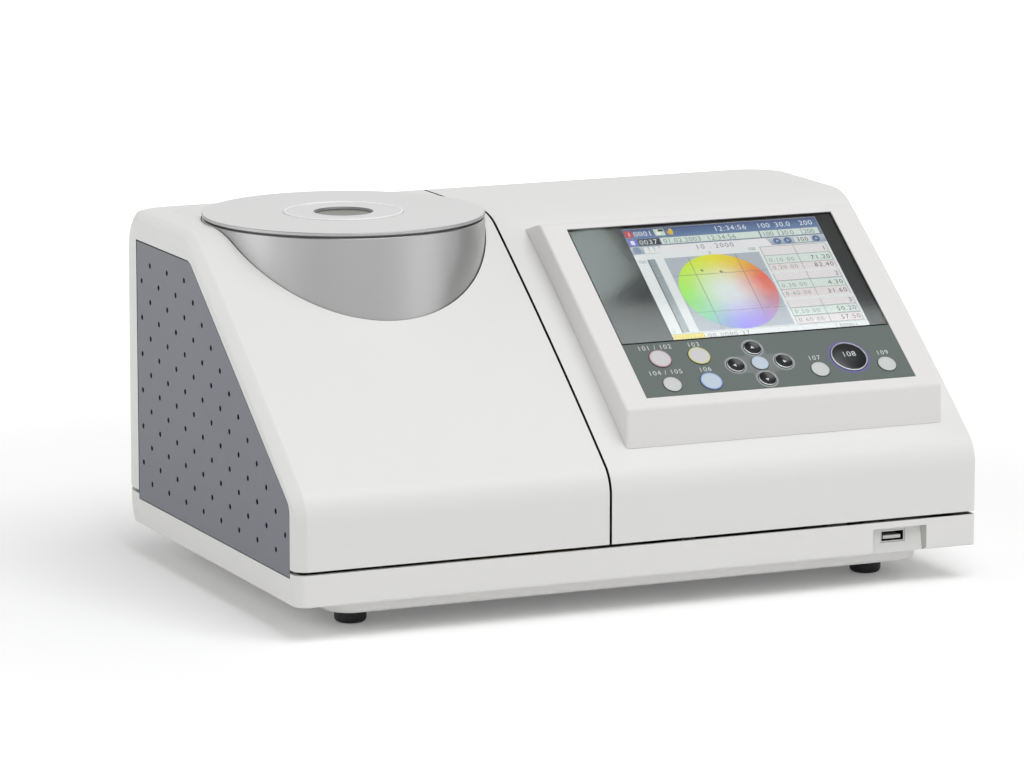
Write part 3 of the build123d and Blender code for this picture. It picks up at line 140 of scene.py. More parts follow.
panel_levels = (
    (-180, 0.85), (-168, 0.95), (-150, 0.65), (-134, 0.32), (-119, 0.42), (-106, 0.20),
    (-84, 0.03), (-63, 0.48), (-41, 0.90), (-22, 0.35), (5, 0.30), (30, 1.00),
    (95, 0.80), (135, 0.65), (162, 0.75), (180, 0.85),
)
room = bpy.data.worlds.new("white_room")
room.use_nodes = True
scene.world = room
air = room.node_tree
air.nodes.clear()
room_out = air.nodes.new("ShaderNodeOutputWorld")
room_even = air.nodes.new("ShaderNodeBackground")
room_even.inputs["Color"].default_value = (1, 1, 1, 1)
room_even.inputs["Strength"].default_value = 0.41
room_seen = air.nodes.new("ShaderNodeBackground")
room_split = air.nodes.new("ShaderNodeSeparateXYZ")
wire(air, air.nodes.new("ShaderNodeTexCoord").outputs["Generated"], room_split.inputs[0])
room_bearing = math_node(air, "ARCTAN2", room_split.outputs["Y"], room_split.outputs["X"])
room_turn = math_node(air, "MULTIPLY_ADD", room_bearing, 0.5 / pi, 0.5)
panel_stops = [((bearing + 180.0) / 360.0, (level, level, level)) for bearing, level in panel_levels]
room_panels = colour_ramp(air, panel_stops, "B_SPLINE")
wire(air, room_turn, room_panels.inputs["Fac"])
wire(air, room_panels.outputs["Color"], room_seen.inputs["Color"])
wire(air, eased(air, room_split.outputs["Z"], 0.35, 0.95, 1.0, 0.30), room_seen.inputs["Strength"])
room_mix = air.nodes.new("ShaderNodeMixShader")
wire(air, seen_directly(air), room_mix.inputs["Fac"])
wire(air, room_even.outputs[0], room_mix.inputs[1])
wire(air, room_seen.outputs[0], room_mix.inputs[2])
wire(air, room_mix.outputs[0], room_out.inputs["Surface"])


def soft_box(name, place, aim, width, height, power):
    """One studio soft box, turned towards a point."""
    lamp = bpy.data.lights.new(name, "AREA")
    lamp.shape = "RECTANGLE"
    lamp.size = width
    lamp.size_y = height
    lamp.energy = power
    holder = bpy.data.objects.new(name, lamp)
    holder.location = place
    holder.rotation_euler = (Vector(aim) - Vector(place)).to_track_quat("-Z", "Y").to_euler()
    scene.collection.objects.link(holder)
    return holder


instrument_middle = (0.0, 0.0, 0.1)
soft_box("soft_box_front", (0.4, -1.5, 3.7), instrument_middle, 3.2, 2.8, 88.0)
soft_box("soft_box_left", (-2.7, 0.6, 1.3), instrument_middle, 1.8, 2.4, 14.0)
soft_box("soft_box_right", (2.2, -1.9, 1.3), instrument_middle, 1.8, 2.4, 8.0)
# Two slim panels overhead, which the flat window mirrors.
for name, place, size, turn, power, tint in (
    ("ceiling_panel_rear", (1.048, 0.233, 2.6), (0.25, 0.08), 32.7, 0.16, (0.86, 1.0, 0.97)),
    ("ceiling_panel_front", (1.283, 0.135, 2.6), (0.50, 0.17), -4.4, 0.67, (0.93, 1.0, 1.0)),
):
    panel = soft_box(name, place, (place[0], place[1], 0.0), *size, power)
    panel.rotation_euler = (0.0, 0.0, radians(turn))
    panel.data.color = tint

# Finish shared by the moulded and cast pieces: the faint stipple of a spark-eroded mould, with
# slow changes of shade and gloss over the surface.


def finish_group(name, inputs):
    """A shared finish: inputs as (name, kind, value), and outputs for colour, gloss and height."""
    group = bpy.data.node_groups.new(name, "ShaderNodeTree")
    for socket_name, kind, value in inputs:
        socket = group.interface.new_socket(socket_name, in_out="INPUT", socket_type="NodeSocket" + kind)
        socket.default_value = value
    for socket_name, kind in (("Colour", "Color"), ("Roughness", "Float"), ("Height", "Float")):
        group.interface.new_socket(socket_name, in_out="OUTPUT", socket_type="NodeSocket" + kind)
    return group, group.nodes.new("NodeGroupInput"), group.nodes.new("NodeGroupOutput")


def noise_node(tree, coordinate, scale, detail):
    """Soft noise between 0 and 1; the scale is a number or another node's output."""
    node = tree.nodes.new("ShaderNodeTexNoise")
    wire(tree, coordinate, node.inputs["Vector"])
    if isinstance(scale, (int, float)):
        node.inputs["Scale"].default_value = scale
    else:
        wire(tree, scale, node.inputs["Scale"])
    node.inputs["Detail"].default_value = detail
    return node.outputs[0]


def shade_colour(tree, colour, amount):
    """A colour made lighter or darker by a number that is zero on average."""
    bright = tree.nodes.new("ShaderNodeVectorMath")
    bright.operation = "SCALE"
    wire(tree, colour, bright.inputs[0])
    wire(tree, math_node(tree, "ADD", amount, 1.0), bright.inputs["Scale"])
    return bright.outputs[0]


mould_grain, grain_in, grain_out = finish_group("mould_grain", (
    ("Colour", "Color", (0.8, 0.8, 0.8, 1)),
    ("Shade", "Float", 0.03),
    ("Roughness", "Float", 0.45),
    ("Stipple Size", "Float", 1800.0),
))
grain_place = mould_grain.nodes.new("ShaderNodeTexCoord").outputs["Object"]
slow = math_node(mould_grain, "SUBTRACT", noise_node(mould_grain, grain_place, 9.0, 3.0), 0.5)
fine = noise_node(mould_grain, grain_place, grain_in.outputs["Stipple Size"], 1.5)
spread = math_node(mould_grain, "MULTIPLY", slow, grain_in.outputs["Shade"])
wire(mould_grain, shade_colour(mould_grain, grain_in.outputs["Colour"], spread), grain_out.inputs["Colour"])
gloss = math_node(mould_grain, "MULTIPLY_ADD", slow, 0.12, grain_in.outputs["Roughness"])
wire(mould_grain, gloss, grain_out.inputs["Roughness"])
wire(mould_grain, fine, grain_out.inputs["Height"])


def plain_material(name):
    """A new material with its Principled shader."""
    material = bpy.data.materials.new(name)
    material.use_nodes = True
    return material, material.node_tree, material.node_tree.nodes["Principled BSDF"]


def bumped(tree, shader, height, depth):
    """Feed a height to the shader through a Bump node; depth is in metres."""
    bump = tree.nodes.new("ShaderNodeBump")
    bump.inputs["Strength"].default_value = 1.0
    bump.inputs["Distance"].default_value = depth
    wire(tree, height, bump.inputs["Height"])
    wire(tree, bump.outputs[0], shader.inputs["Normal"])


def placed_group(tree, group, **values):
    """Place a node group in a material, with its own values by input name."""
    node = tree.nodes.new("ShaderNodeGroup")
    node.node_tree = group
    for input_name, value in values.items():
        node.inputs[input_name.replace("_", " ")].default_value = value
    return node


def finished(name, group, depth, metallic=0.0, **values):
    """A material from a shared finish, with the depth of its bump in metres."""
    material, tree, shader = plain_material(name)
    finish = placed_group(tree, group, **values)
    wire(tree, finish.outputs["Colour"], shader.inputs["Base Color"])
    wire(tree, finish.outputs["Roughness"], shader.inputs["Roughness"])
    bumped(tree, shader, finish.outputs["Height"], depth)
    shader.inputs["Metallic"].default_value = metallic
    if "Colour" in values:
        material.diffuse_color = values["Colour"]
    return material


def moulded(name, colour, roughness, shade=0.03, stipple=1800.0, depth=0.00002, metallic=0.0):
    """Moulded or cast finish from the shared grain."""
    return finished(
        name, mould_grain, depth, metallic,
        Colour=(*colour, 1), Shade=shade, Roughness=roughness, Stipple_Size=stipple,
    )


# Casing: two moulded covers with one side view, a flat top, a long slope and a rounded foot.
# They are ABS mouldings 3 mm thick, screwed from below, and meet at a 1.2 mm joint.
casing_white = moulded("casing_white", (0.79, 0.79, 0.775), 0.42, shade=0.012)
# Painted shade: the faces inside the joint between the covers, the wall round the drum hole and the wall
# round the grille's recess are painted near black, so that these narrow gaps read dark.
painted_gap_shade = moulded("painted_gap_shade", (0.01, 0.01, 0.011), 0.7, shade=0.2)
side_x = 192.5
rear_y = 130.5
top_z = 187.0
cover_foot_z = 36.4
slope_top_y = 24.8
slope_foot_z = 70.7
slope_bulge = 2.1
top_bend = 35.0
foot_bend = 19.0
rear_bend = 18.0
rear_corner = 24.0
side_edge = 5.5
side_drop = 4.2
right_end_edge = 2.0
left_joint_x = -20.1
right_joint_x = -18.9
wall = 3.0
port_x = -97.5
port_y = 39.0
slope_run = slope_top_y + rear_y
slope_rise = top_z - slope_foot_z
slope_angle = atan2(slope_rise, slope_run)
slope_radius = (slope_run**2 + slope_rise**2) / (8 * slope_bulge) + slope_bulge / 2
slope_centre = Vector(
    (
        -rear_y + slope_run / 2 + (slope_radius - slope_bulge) * sin(slope_angle),
        slope_foot_z + slope_rise / 2 - (slope_radius - slope_bulge) * cos(slope_angle),
    )
)


def arc(centre, radius, start, end, steps):
    """Points on an arc with their outward normals; angles in radians from the first axis."""
    made = []
    for step in range(steps + 1):
        angle = start + (end - start) * step / steps
        normal = Vector((cos(angle), sin(angle)))
        made.append((Vector(centre) + normal * radius, normal))
    return made


def slope_height(y):
    """Height of the casing's slope at a depth y."""
    return slope_centre.y + sqrt(slope_radius**2 - (y - slope_centre.x) ** 2)


def casing_line(inset=0.0, rear_shift=0.0):
    """Side view of the casing from its rear foot over the top to its front foot, as (y, z)."""
    reach = slope_radius - top_bend
    top_centre_z = top_z - top_bend
    top_centre = Vector(
        (slope_centre.x - sqrt(reach**2 - (top_centre_z - slope_centre.y) ** 2), top_centre_z)
    )
    reach = slope_radius - foot_bend
    foot_centre_y = -rear_y + foot_bend
    foot_centre = Vector(
        (foot_centre_y, slope_centre.y + sqrt(reach**2 - (foot_centre_y - slope_centre.x) ** 2))
    )
    to_top = top_centre - slope_centre
    to_foot = foot_centre - slope_centre
    slope_from = atan2(to_top.y, to_top.x)
    slope_to = atan2(to_foot.y, to_foot.x)
    rear = rear_y - rear_shift
    top = top_z - inset
    line = [Vector((rear, cover_foot_z)), Vector((rear, cover_foot_z + 4))]
    line += [p for p, n in arc((rear - rear_bend, top - rear_bend), rear_bend, 0, pi / 2, 30)]
    flat_from = rear - rear_bend
    for step in range(1, 12):
        line.append(Vector((flat_from + (top_centre.x - flat_from) * step / 12, top)))
    line += [p - n * inset for p, n in arc(top_centre, top_bend, pi / 2, slope_from, 28)]
    line += [p - n * inset for p, n in arc(slope_centre, slope_radius, slope_from, slope_to, 16)][1:]
    line += [p - n * inset for p, n in arc(foot_centre, foot_bend, slope_to, pi, 28)][1:]
    line += [Vector((-rear_y + inset, cover_foot_z + 4)), Vector((-rear_y + inset, cover_foot_z))]
    return line


def new_piece(name, points, faces, *materials, sharp=32.0):
    """A mesh object from points in millimetres."""
    mesh = bpy.data.meshes.new(name)
    mesh.from_pydata([[c * 0.001 for c in point] for point in points], [], faces)
    for material in materials:
        mesh.materials.append(material)
    piece = bpy.data.objects.new(name, mesh)
    scene.collection.objects.link(piece)
    smooth(piece, sharp)
    return piece


def smooth(piece, sharp=32.0):
    """Smooth shading, broken where faces meet at more than an angle."""
    piece.data.polygons.foreach_set("use_smooth", [True] * len(piece.data.polygons))
    piece.data.set_sharp_from_angle(angle=radians(sharp))
    return piece


def settle(piece):
    """Turn the piece's modifiers into plain mesh."""
    graph = bpy.context.evaluated_depsgraph_get()
    graph.update()
    mesh = bpy.data.meshes.new_from_object(piece.evaluated_get(graph))
    piece.modifiers.clear()
    piece.data = mesh
    mesh.name = piece.name
    return piece


def outwards(piece):
    """Merge doubles and point every face outwards."""
    shape = bmesh.new()
    shape.from_mesh(piece.data)
    bmesh.ops.remove_doubles(shape, verts=shape.verts, dist=1e-7)
    bmesh.ops.recalc_face_normals(shape, faces=shape.faces)
    shape.to_mesh(piece.data)
    shape.free()
    return piece


def cut(piece, *tools, operation="DIFFERENCE"):
    """Cut the piece with closed tools, which are then thrown away."""
    for tool in tools:
        outwards(tool)
        step = piece.modifiers.new("cut", "BOOLEAN")
        step.operation = operation
        step.solver = "EXACT"
        step.object = tool
        settle(piece)
        bpy.data.objects.remove(tool)
    return smooth(piece)


def join(piece, *others):
    """Add other pieces to one mesh, with their materials."""
    for other in others:
        shape = bmesh.new()
        shape.from_mesh(piece.data)
        first = len(piece.data.materials)
        start = len(shape.faces)
        shape.from_mesh(other.data)
        shape.faces.ensure_lookup_table()
        for face in shape.faces[start:]:
            face.material_index += first
        for material in other.data.materials:
            piece.data.materials.append(material)
        shape.to_mesh(piece.data)
        shape.free()
        bpy.data.objects.remove(other)
    return piece


def bevel(piece, width, angle=40.0):
    """Round every edge that is sharper than an angle."""
    outwards(piece)
    step = piece.modifiers.new("edges", "BEVEL")
    step.width = width * 0.001
    step.segments = 2
    step.limit_method = "ANGLE"
    step.angle_limit = radians(angle)
    step.harden_normals = False
    settle(piece)
    return smooth(piece)


def round_edges(piece, width, segments, chosen):
    """Round the edges that a rule chooses."""
    shape = bmesh.new()
    shape.from_mesh(piece.data)
    edges = [edge for edge in shape.edges if chosen(edge)]
    bmesh.ops.bevel(
        shape, geom=edges, offset=width * 0.001, segments=segments, affect="EDGES", profile=0.5
    )
    shape.to_mesh(piece.data)
    shape.free()
    return smooth(piece)


def lathe(name, profile, x, y, *materials, steps=128, sharp=32.0):
    """A turned piece about an upright axis; the profile is a list of (radius, z)."""
    points = []
    for k in range(steps):
        angle = 2 * pi * k / steps
        points += [(x + r * cos(angle), y + r * sin(angle), z) for r, z in profile]
    count = len(profile)
    faces = []
    for k in range(steps):
        here = k * count
        there = (k + 1) % steps * count
        for j in range(count):
            after = (j + 1) % count
            faces.append((here + j, there + j, there + after, here + after))
    piece = new_piece(name, points, faces, *materials, sharp=sharp)
    shape = bmesh.new()
    shape.from_mesh(piece.data)
    bmesh.ops.remove_doubles(shape, verts=shape.verts, dist=1e-7)
    bmesh.ops.dissolve_degenerate(shape, edges=shape.edges, dist=1e-8)
    bmesh.ops.recalc_face_normals(shape, faces=shape.faces)
    shape.to_mesh(piece.data)
    shape.free()
    return smooth(piece, sharp)


def box(name, low, high, *materials):
    """A closed box between two corners."""
    points = [(x, y, z) for x in (low[0], high[0]) for y in (low[1], high[1]) for z in (low[2], high[2])]
    faces = [(0, 1, 3, 2), (4, 6, 7, 5), (0, 4, 5, 1), (2, 3, 7, 6), (0, 2, 6, 4), (1, 5, 7, 3)]
    return outwards(new_piece(name, points, faces, *materials))


def prism(name, outline, place, *materials):
    """A closed prism: an outline of (a, b) points, put in place by a function of (a, b, end)."""
    count = len(outline)
    points = [place(a, b, 0) for a, b in outline] + [place(a, b, 1) for a, b in outline]
    faces = [(k, (k + 1) % count, count + (k + 1) % count, count + k) for k in range(count)]
    faces += [tuple(reversed(range(count))), tuple(range(count, 2 * count))]
    return outwards(new_piece(name, points, faces, *materials))


def rounded(corners, radii):
    """Outline through corner points, each rounded to its own radius."""
    outline = []
    count = len(corners)
    steps = 8
    for k, (here, radius) in enumerate(zip(corners, radii)):
        here = Vector(here)
        before = (Vector(corners[k - 1]) - here).normalized()
        after = (Vector(corners[(k + 1) % count]) - here).normalized()
        if radius <= 0:
            outline.append(tuple(here))
            continue
        half = before.angle(after) / 2
        centre = here + (before + after).normalized() * radius / sin(half)
        start = here + before * radius / tan(half) - centre
        end = here + after * radius / tan(half) - centre
        turn = atan2(start.x * end.y - start.y * end.x, start.dot(end))
        for step in range(steps + 1):
            angle = turn * step / steps
            across = start.x * cos(angle) - start.y * sin(angle)
            along = start.x * sin(angle) + start.y * cos(angle)
            outline.append(tuple(centre + Vector((across, along))))
    return outline


def hand_over(piece, body, slot, *replaced):
    """Keep the shading of large faces flat, then tie the piece to its body and hide the CAD nodes that it
    replaces; the slot is not used.
    """
    step = piece.modifiers.new("shading", "WEIGHTED_NORMAL")
    step.keep_sharp = True
    settle(piece)
    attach(piece, body)
    if replaced:
        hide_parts(*replaced)


def casing_cover(name, side, joint_x):
    """One cover: its outer skin from sections along X, then its wall and its softened rims.

    The edge beside the grille is a shallow chamfer; the other end is a small rounding.
    """
    if side < 0:
        edge = side_edge
        offsets = [edge * part for part in (0.0, 0.12, 0.25, 0.4, 0.55, 0.7, 0.85, 1.0)]
    else:
        edge = right_end_edge
        offsets = [edge * (1 - cos(pi / 2 * step / 6)) for step in range(7)]
    offsets.append(edge + 0.5)
    wider = [rear_corner * (1 - cos(pi / 2 * step / 20)) for step in range(1, 21)]
    offsets += [offset for offset in wider if offset > edge + 1.0]
    span = side_x - side * joint_x
    offsets += [rear_corner + (span - rear_corner) * part for part in (0.25, 0.5, 0.75, 1.0)]
    rows = []
    for offset in offsets:
        part = min(offset / edge, 1.0)
        if side < 0:
            inset = side_drop * (1 - part) - 0.35 * sin(pi * part) + 0.35 * max(1 - offset / 0.66, 0.0)
        else:
            inset = edge - sqrt(edge**2 - (edge - edge * part) ** 2)
        lost = max(rear_corner - offset, 0.0)
        shift = rear_corner - sqrt(rear_corner**2 - lost**2)
        x = side * (side_x - offset)
        rows.append([(x, p.x, p.y) for p in casing_line(inset, shift)])
    count = len(rows[0])
    points = [point for row in rows for point in row]
    faces = [tuple(range(count))]
    for row in range(len(rows) - 1):
        for k in range(count - 1):
            a = row * count + k
            faces.append((a, a + 1, a + count + 1, a + count))
    cover = outwards(new_piece(name, points, faces, casing_white))
    side_face = max(cover.data.polygons, key=lambda face: side * face.center.x)
    if side_face.normal.x * side < 0:
        cover.data.flip_normals()
    skin = cover.modifiers.new("wall", "SOLIDIFY")
    skin.thickness = wall * 0.001
    skin.offset = -1.0
    skin.use_even_offset = True
    settle(cover)

    def at_rim(edge):
        at_foot = all(vertex.co.z * 1000 < cover_foot_z + 0.01 for vertex in edge.verts)
        at_joint = all(abs(vertex.co.x * 1000 - joint_x) < 0.01 for vertex in edge.verts)
        return (at_foot or at_joint) and edge.calc_face_angle(0) > radians(60)

    return round_edges(cover, 0.3, 2, at_rim)


def shade_faces(piece, material, chosen):
    """Give another material to the faces whose centre, in millimetres, is chosen."""
    if material.name not in piece.data.materials:
        piece.data.materials.append(material)
    index = piece.data.materials.find(material.name)
    for face in piece.data.polygons:
        if chosen(face.center * 1000.0, face.normal):
            face.material_index = index
    return piece


def add_bosses(cover, places, low, high):
    """Screw bosses inside a cover, each with a web to the nearest wall."""
    for x, y in places:
        section = [(1.85, low), (5.0, low), (5.0, high), (1.85, high)]
        boss = lathe("boss", section, x, y, casing_white, steps=32)
        wall_y = (rear_y - wall / 2) if y > 0 else -(rear_y - wall / 2)
        near, far = sorted((y + 4.9 if y > 0 else y - 4.9, wall_y))
        web = box("web", (x - 1.2, near, low), (x + 1.2, far, high), casing_white)
        join(cover, boss, web)


# Left cover: cut open for the drum and hollowed by a finger scoop; its side is recessed for the
# grey grille, with an opening behind it.
left_cover = casing_cover("left_cover_shell", -1, left_joint_x)
scoop_x, scoop_y, scoop_radius, scoop_depth = -153.0, 91.0, 20.0, 6.5
dish_radius = (scoop_radius**2 + scoop_depth**2) / (2 * scoop_depth)
dish_z = top_z - scoop_depth + dish_radius
under = dish_radius + wall
under_end = acos((dish_z - top_z + 0.5) / under)
dish_under = []
for k in range(21):
    turn = under_end * k / 20
    dish_under.append((under * sin(turn), dish_z - under * cos(turn)))
dish_under.append((0.0, top_z - 0.5))
cut(left_cover, lathe("dish_under", dish_under, scoop_x, scoop_y, steps=96), operation="UNION")
lip = 1.6
rim_z = top_z - lip
rim_reach = sqrt((dish_radius + lip) ** 2 - (dish_z - rim_z) ** 2)
rim_angle = atan2(rim_reach, dish_z - rim_z)
dish = []
for k in range(25):
    turn = rim_angle * k / 24
    dish.append((dish_radius * sin(turn), dish_z - dish_radius * cos(turn)))
for k in range(1, 9):
    turn = rim_angle * (1 - k / 8)
    dish.append((rim_reach - lip * sin(turn), rim_z + lip * cos(turn)))
dish += [(rim_reach, top_z + 4.0), (0.0, top_z + 4.0)]
cut(left_cover, lathe("dish", dish, scoop_x, scoop_y, steps=96))
drum_hole_radius = 75.45
hole_section = [(0, 110), (drum_hole_radius, 110), (drum_hole_radius, 200), (0, 200)]
cut(left_cover, lathe("drum_hole", hole_section, port_x, port_y, steps=192))
grille_corners = [(98.2, 32.4), (98.2, 172.2), (18.6, 172.2), (-120.4, 68.5), (-120.4, 32.4)]


def grown(corners, amount):
    """Straight-sided outline moved outwards by an amount; corners run anticlockwise from the rear."""
    lines = []
    count = len(corners)
    for k in range(count):
        a = Vector(corners[k])
        b = Vector(corners[(k + 1) % count])
        along = (b - a).normalized()
        lines.append((a + Vector((along.y, -along.x)) * amount, along))
    made = []
    for k in range(count):
        (a, d), (b, e) = lines[k - 1], lines[k]
        t = ((b.x - a.x) * e.y - (b.y - a.y) * e.x) / (d.x * e.y - d.y * e.x)
        made.append(tuple(a + d * t))
    return made


recess_floor_x = -190.3
recess_outline = rounded(grown(grille_corners, 0.6), (0, 0, 12.6, 8.6, 0))
recess = prism("recess", recess_outline, lambda a, b, end: (recess_floor_x if end else -196.0, a, b))
opening_corners = [(a, max(b, cover_foot_z + 6.0)) for a, b in grown(grille_corners, -6.0)]
opening_outline = rounded(opening_corners, (3, 3, 5, 5, 3))
opening = prism("opening", opening_outline, lambda a, b, end: (-186.0 if end else -195.0, a, b))
cut(left_cover, recess, opening)
add_bosses(left_cover, [(-176.0, -118.5), (-34.2, -118.5), (-162.0, 118.5), (-34.2, 118.5)], 41.0, 59.0)


def from_port(p):
    """How far a point lies from the upright axis of the port."""
    return hypot(p.x - port_x, p.y - port_y)


def in_recess_wall(p, normal):
    """The narrow wall round the grille's recess, painted near black as painted shade, so that it reads as a
    dark gap.
    """
    beside_grille = recess_floor_x - 2.15 < p.x < recess_floor_x - 0.05 and -122.0 < p.y < 100.0
    return beside_grille and abs(normal.x) < 0.3 and p.z < min(175.0, slope_height(min(p.y, 20.0)) - 5.0)


# Painted shade in the joint, round the drum hole and round the grille's recess.
shade_faces(left_cover, painted_gap_shade, lambda p, normal: abs(p.x - left_joint_x) < 0.05 and abs(normal.x) > 0.9)
shade_faces(left_cover, painted_gap_shade, lambda p, normal: 75.2 < from_port(p) < 75.6 and abs(normal.z) < 0.05)
shade_faces(left_cover, painted_gap_shade, in_recess_wall)
hand_over(left_cover, "carriage", "white_casing", "left_cover")

# Right cover: a moulding with the same side view, fixed to the tray, with a framed opening in its
# rear wall for the connectors.
right_cover = casing_cover("right_cover_shell", 1, right_joint_x)
rear_opening = ((61, 120, 59), (163, 140, 89))
cut(right_cover, box("rear_opening", *rear_opening))
pad = box("pad", (56, 124.5, 54), (168, 127.6, 94), casing_white)
cut(pad, box("pad_opening", *rear_opening))
join(right_cover, pad)
right_boss_places = [(32.5, -110.5), (121.0, -110.5), (32.5, 112.5), (174.5, 112.5)]
add_bosses(right_cover, right_boss_places, 36.9, 53.8)
# Painted shade in the joint.
shade_faces(
    right_cover, painted_gap_shade, lambda p, normal: abs(p.x - right_joint_x) < 0.05 and abs(normal.x) > 0.9
)
hand_over(right_cover, "base", "white_casing", "right_cover")

# Finish shared by the turned and brushed pieces: fine lines round an upright axis or, on a flat
# face, rings round it, with slow changes of gloss.
turned_lines, turned_in, turned_out = finish_group("turned_lines", (
    ("Colour", "Color", (0.6, 0.6, 0.6, 1)),
    ("Roughness", "Float", 0.3),
    ("Centre", "Vector", (port_x * 0.001, port_y * 0.001, 0.0)),
    ("Flat", "Float", 0.0),
    ("Streak", "Float", 0.08),
))
turned_place = turned_lines.nodes.new("ShaderNodeTexCoord").outputs["Object"]
turned_from = turned_lines.nodes.new("ShaderNodeVectorMath")
turned_from.operation = "SUBTRACT"
wire(turned_lines, turned_place, turned_from.inputs[0])
wire(turned_lines, turned_in.outputs["Centre"], turned_from.inputs[1])
turned_split = turned_lines.nodes.new("ShaderNodeSeparateXYZ")
wire(turned_lines, turned_from.outputs[0], turned_split.inputs[0])
square_x = math_node(turned_lines, "POWER", turned_split.outputs["X"], 2.0)
square_y = math_node(turned_lines, "POWER", turned_split.outputs["Y"], 2.0)
from_axis = math_node(turned_lines, "SQRT", math_node(turned_lines, "ADD", square_x, square_y))
upright = math_node(turned_lines, "SUBTRACT", 1.0, turned_in.outputs["Flat"])
level = math_node(turned_lines, "MULTIPLY", turned_split.outputs["Z"], upright)
ring = math_node(turned_lines, "MULTIPLY", from_axis, turned_in.outputs["Flat"])
line_place = math_node(turned_lines, "MULTIPLY", math_node(turned_lines, "ADD", level, ring), 3600.0)
bearing = math_node(turned_lines, "ARCTAN2", turned_split.outputs["Y"], turned_split.outputs["X"])
turned_join = turned_lines.nodes.new("ShaderNodeCombineXYZ")
wire(turned_lines, line_place, turned_join.inputs["X"])
wire(turned_lines, math_node(turned_lines, "MULTIPLY", bearing, 1.2), turned_join.inputs["Y"])
line_noise = noise_node(turned_lines, turned_join.outputs[0], 1.0, 3.0)
streaks = math_node(turned_lines, "SUBTRACT", line_noise, 0.5)
cloud = math_node(turned_lines, "SUBTRACT", noise_node(turned_lines, turned_place, 14.0, 2.0), 0.5)
streak_shade = math_node(turned_lines, "MULTIPLY", streaks, turned_in.outputs["Streak"])
turned_colour = shade_colour(turned_lines, turned_in.outputs["Colour"], streak_shade)
wire(turned_lines, turned_colour, turned_out.inputs["Colour"])
turned_gloss = math_node(turned_lines, "MULTIPLY_ADD", streaks, 0.10, turned_in.outputs["Roughness"])
turned_gloss = math_node(turned_lines, "MULTIPLY_ADD", cloud, 0.05, turned_gloss)
wire(turned_lines, turned_gloss, turned_out.inputs["Roughness"])
wire(turned_lines, streaks, turned_out.inputs["Height"])


def turned(name, colour, roughness, centre=None, flat=0.0, streak=0.08, metallic=1.0, depth=0.000003):
    """Turned or brushed metal from the shared lines, about the port's axis or another centre."""
    x, y = centre or (port_x, port_y)
    return finished(
        name, turned_lines, depth, metallic,
        Colour=(*colour, 1), Roughness=roughness, Streak=streak,
        Centre=(x * 0.001, y * 0.001, 0.0), Flat=flat,
    )


# Port drum: a brushed stainless steel tube that stands up through the left cover, with a narrow
# shelf inside its rim that carries the port.
drum_steel = turned("drum_steel", (0.48, 0.48, 0.483), 0.38, streak=0.015, depth=0.0000006)
brush_turn = drum_steel.node_tree.nodes.new("ShaderNodeTangent")
brush_turn.direction_type = "RADIAL"
brush_turn.axis = "Z"
brushed = drum_steel.node_tree.nodes["Principled BSDF"]
wire(drum_steel.node_tree, brush_turn.outputs[0], brushed.inputs["Tangent"])
brushed.inputs["Anisotropic"].default_value = 0.85
brushed.inputs["Anisotropic Rotation"].default_value = 0.25
drum_outer, drum_bore, drum_foot, drum_rim = 75.0, 73.4, 133.0, 187.4
shelf_bore, shelf_top = 69.4, 186.7
drum_profile = [(drum_bore, drum_foot + 0.3), (drum_bore + 0.3, drum_foot), (drum_outer - 0.3, drum_foot)]
drum_profile += [(drum_outer, drum_foot + 0.3)]
drum_profile += [tuple(p) for p, n in arc((drum_outer - 0.6, drum_rim - 0.6), 0.6, 0, pi / 2, 6)]
drum_profile += [(drum_bore + 0.3, drum_rim), (drum_bore, drum_rim - 0.3), (drum_bore, shelf_top)]
drum_profile += [(shelf_bore, shelf_top), (shelf_bore, shelf_top - 1.0), (drum_bore, shelf_top - 1.2)]
drum = lathe("port_drum_tube", drum_profile, port_x, port_y, drum_steel, steps=192)
hand_over(drum, "carriage", "brushed_drum", "port_drum")

# Port base ring: a dark machined ring that lies on the drum's shelf and leaves a thin shadow line
# under the port plate; its bore is painted white like the sphere.
ring_metal = turned("ring_metal", (0.10, 0.10, 0.105), 0.35, flat=1.0, streak=0.2)
ring_bore, ring_outer, ring_low, ring_top = 24.0, 73.2, 186.8, 188.6
ring_profile = [(ring_bore + 0.3, ring_low), (ring_outer - 0.3, ring_low), (ring_outer, ring_low + 0.3)]
ring_profile += [(ring_outer, ring_top), (ring_bore + 0.3, ring_top)]
ring_profile += [(ring_bore, ring_top - 0.3), (ring_bore, ring_low + 0.3)]
base_ring = lathe("port_base_ring_turned", ring_profile, port_x, port_y, ring_metal, steps=160)
bore_white = moulded("bore_white", (0.80, 0.80, 0.78), 0.8, shade=0.02)
shade_faces(base_ring, bore_white, lambda p, normal: from_port(p) < ring_bore + 0.4)
hand_over(base_ring, "carriage", "cast_metal", "port_base_ring")

# Port plate: a turned aluminium disc, satin silver, with a rounded edge and a stepped seat for the
# mask. It lies loose on the base ring and lifts off.
plate_silver = turned("plate_silver", (0.87, 0.87, 0.865), 0.46, flat=1.0, streak=0.03, metallic=0.75)
plate_bore, plate_outer, plate_top = 30.15, 75.0, 190.3
seat_radius, seat_z = 31.95, 189.5
plate_profile = [(plate_bore, ring_top + 0.1), (plate_bore + 0.1, ring_top)]
plate_profile += [(plate_outer - 0.2, ring_top), (plate_outer, ring_top + 0.2)]
plate_profile += [tuple(p) for p, n in arc((plate_outer - 0.7, plate_top - 0.7), 0.7, 0, pi / 2, 8)]
plate_profile += [(seat_radius + 0.3, plate_top), (seat_radius, plate_top - 0.3)]
plate_profile += [(seat_radius, seat_z), (plate_bore, seat_z)]
plate = lathe("port_plate_disc", plate_profile, port_x, port_y, plate_silver, steps=192)
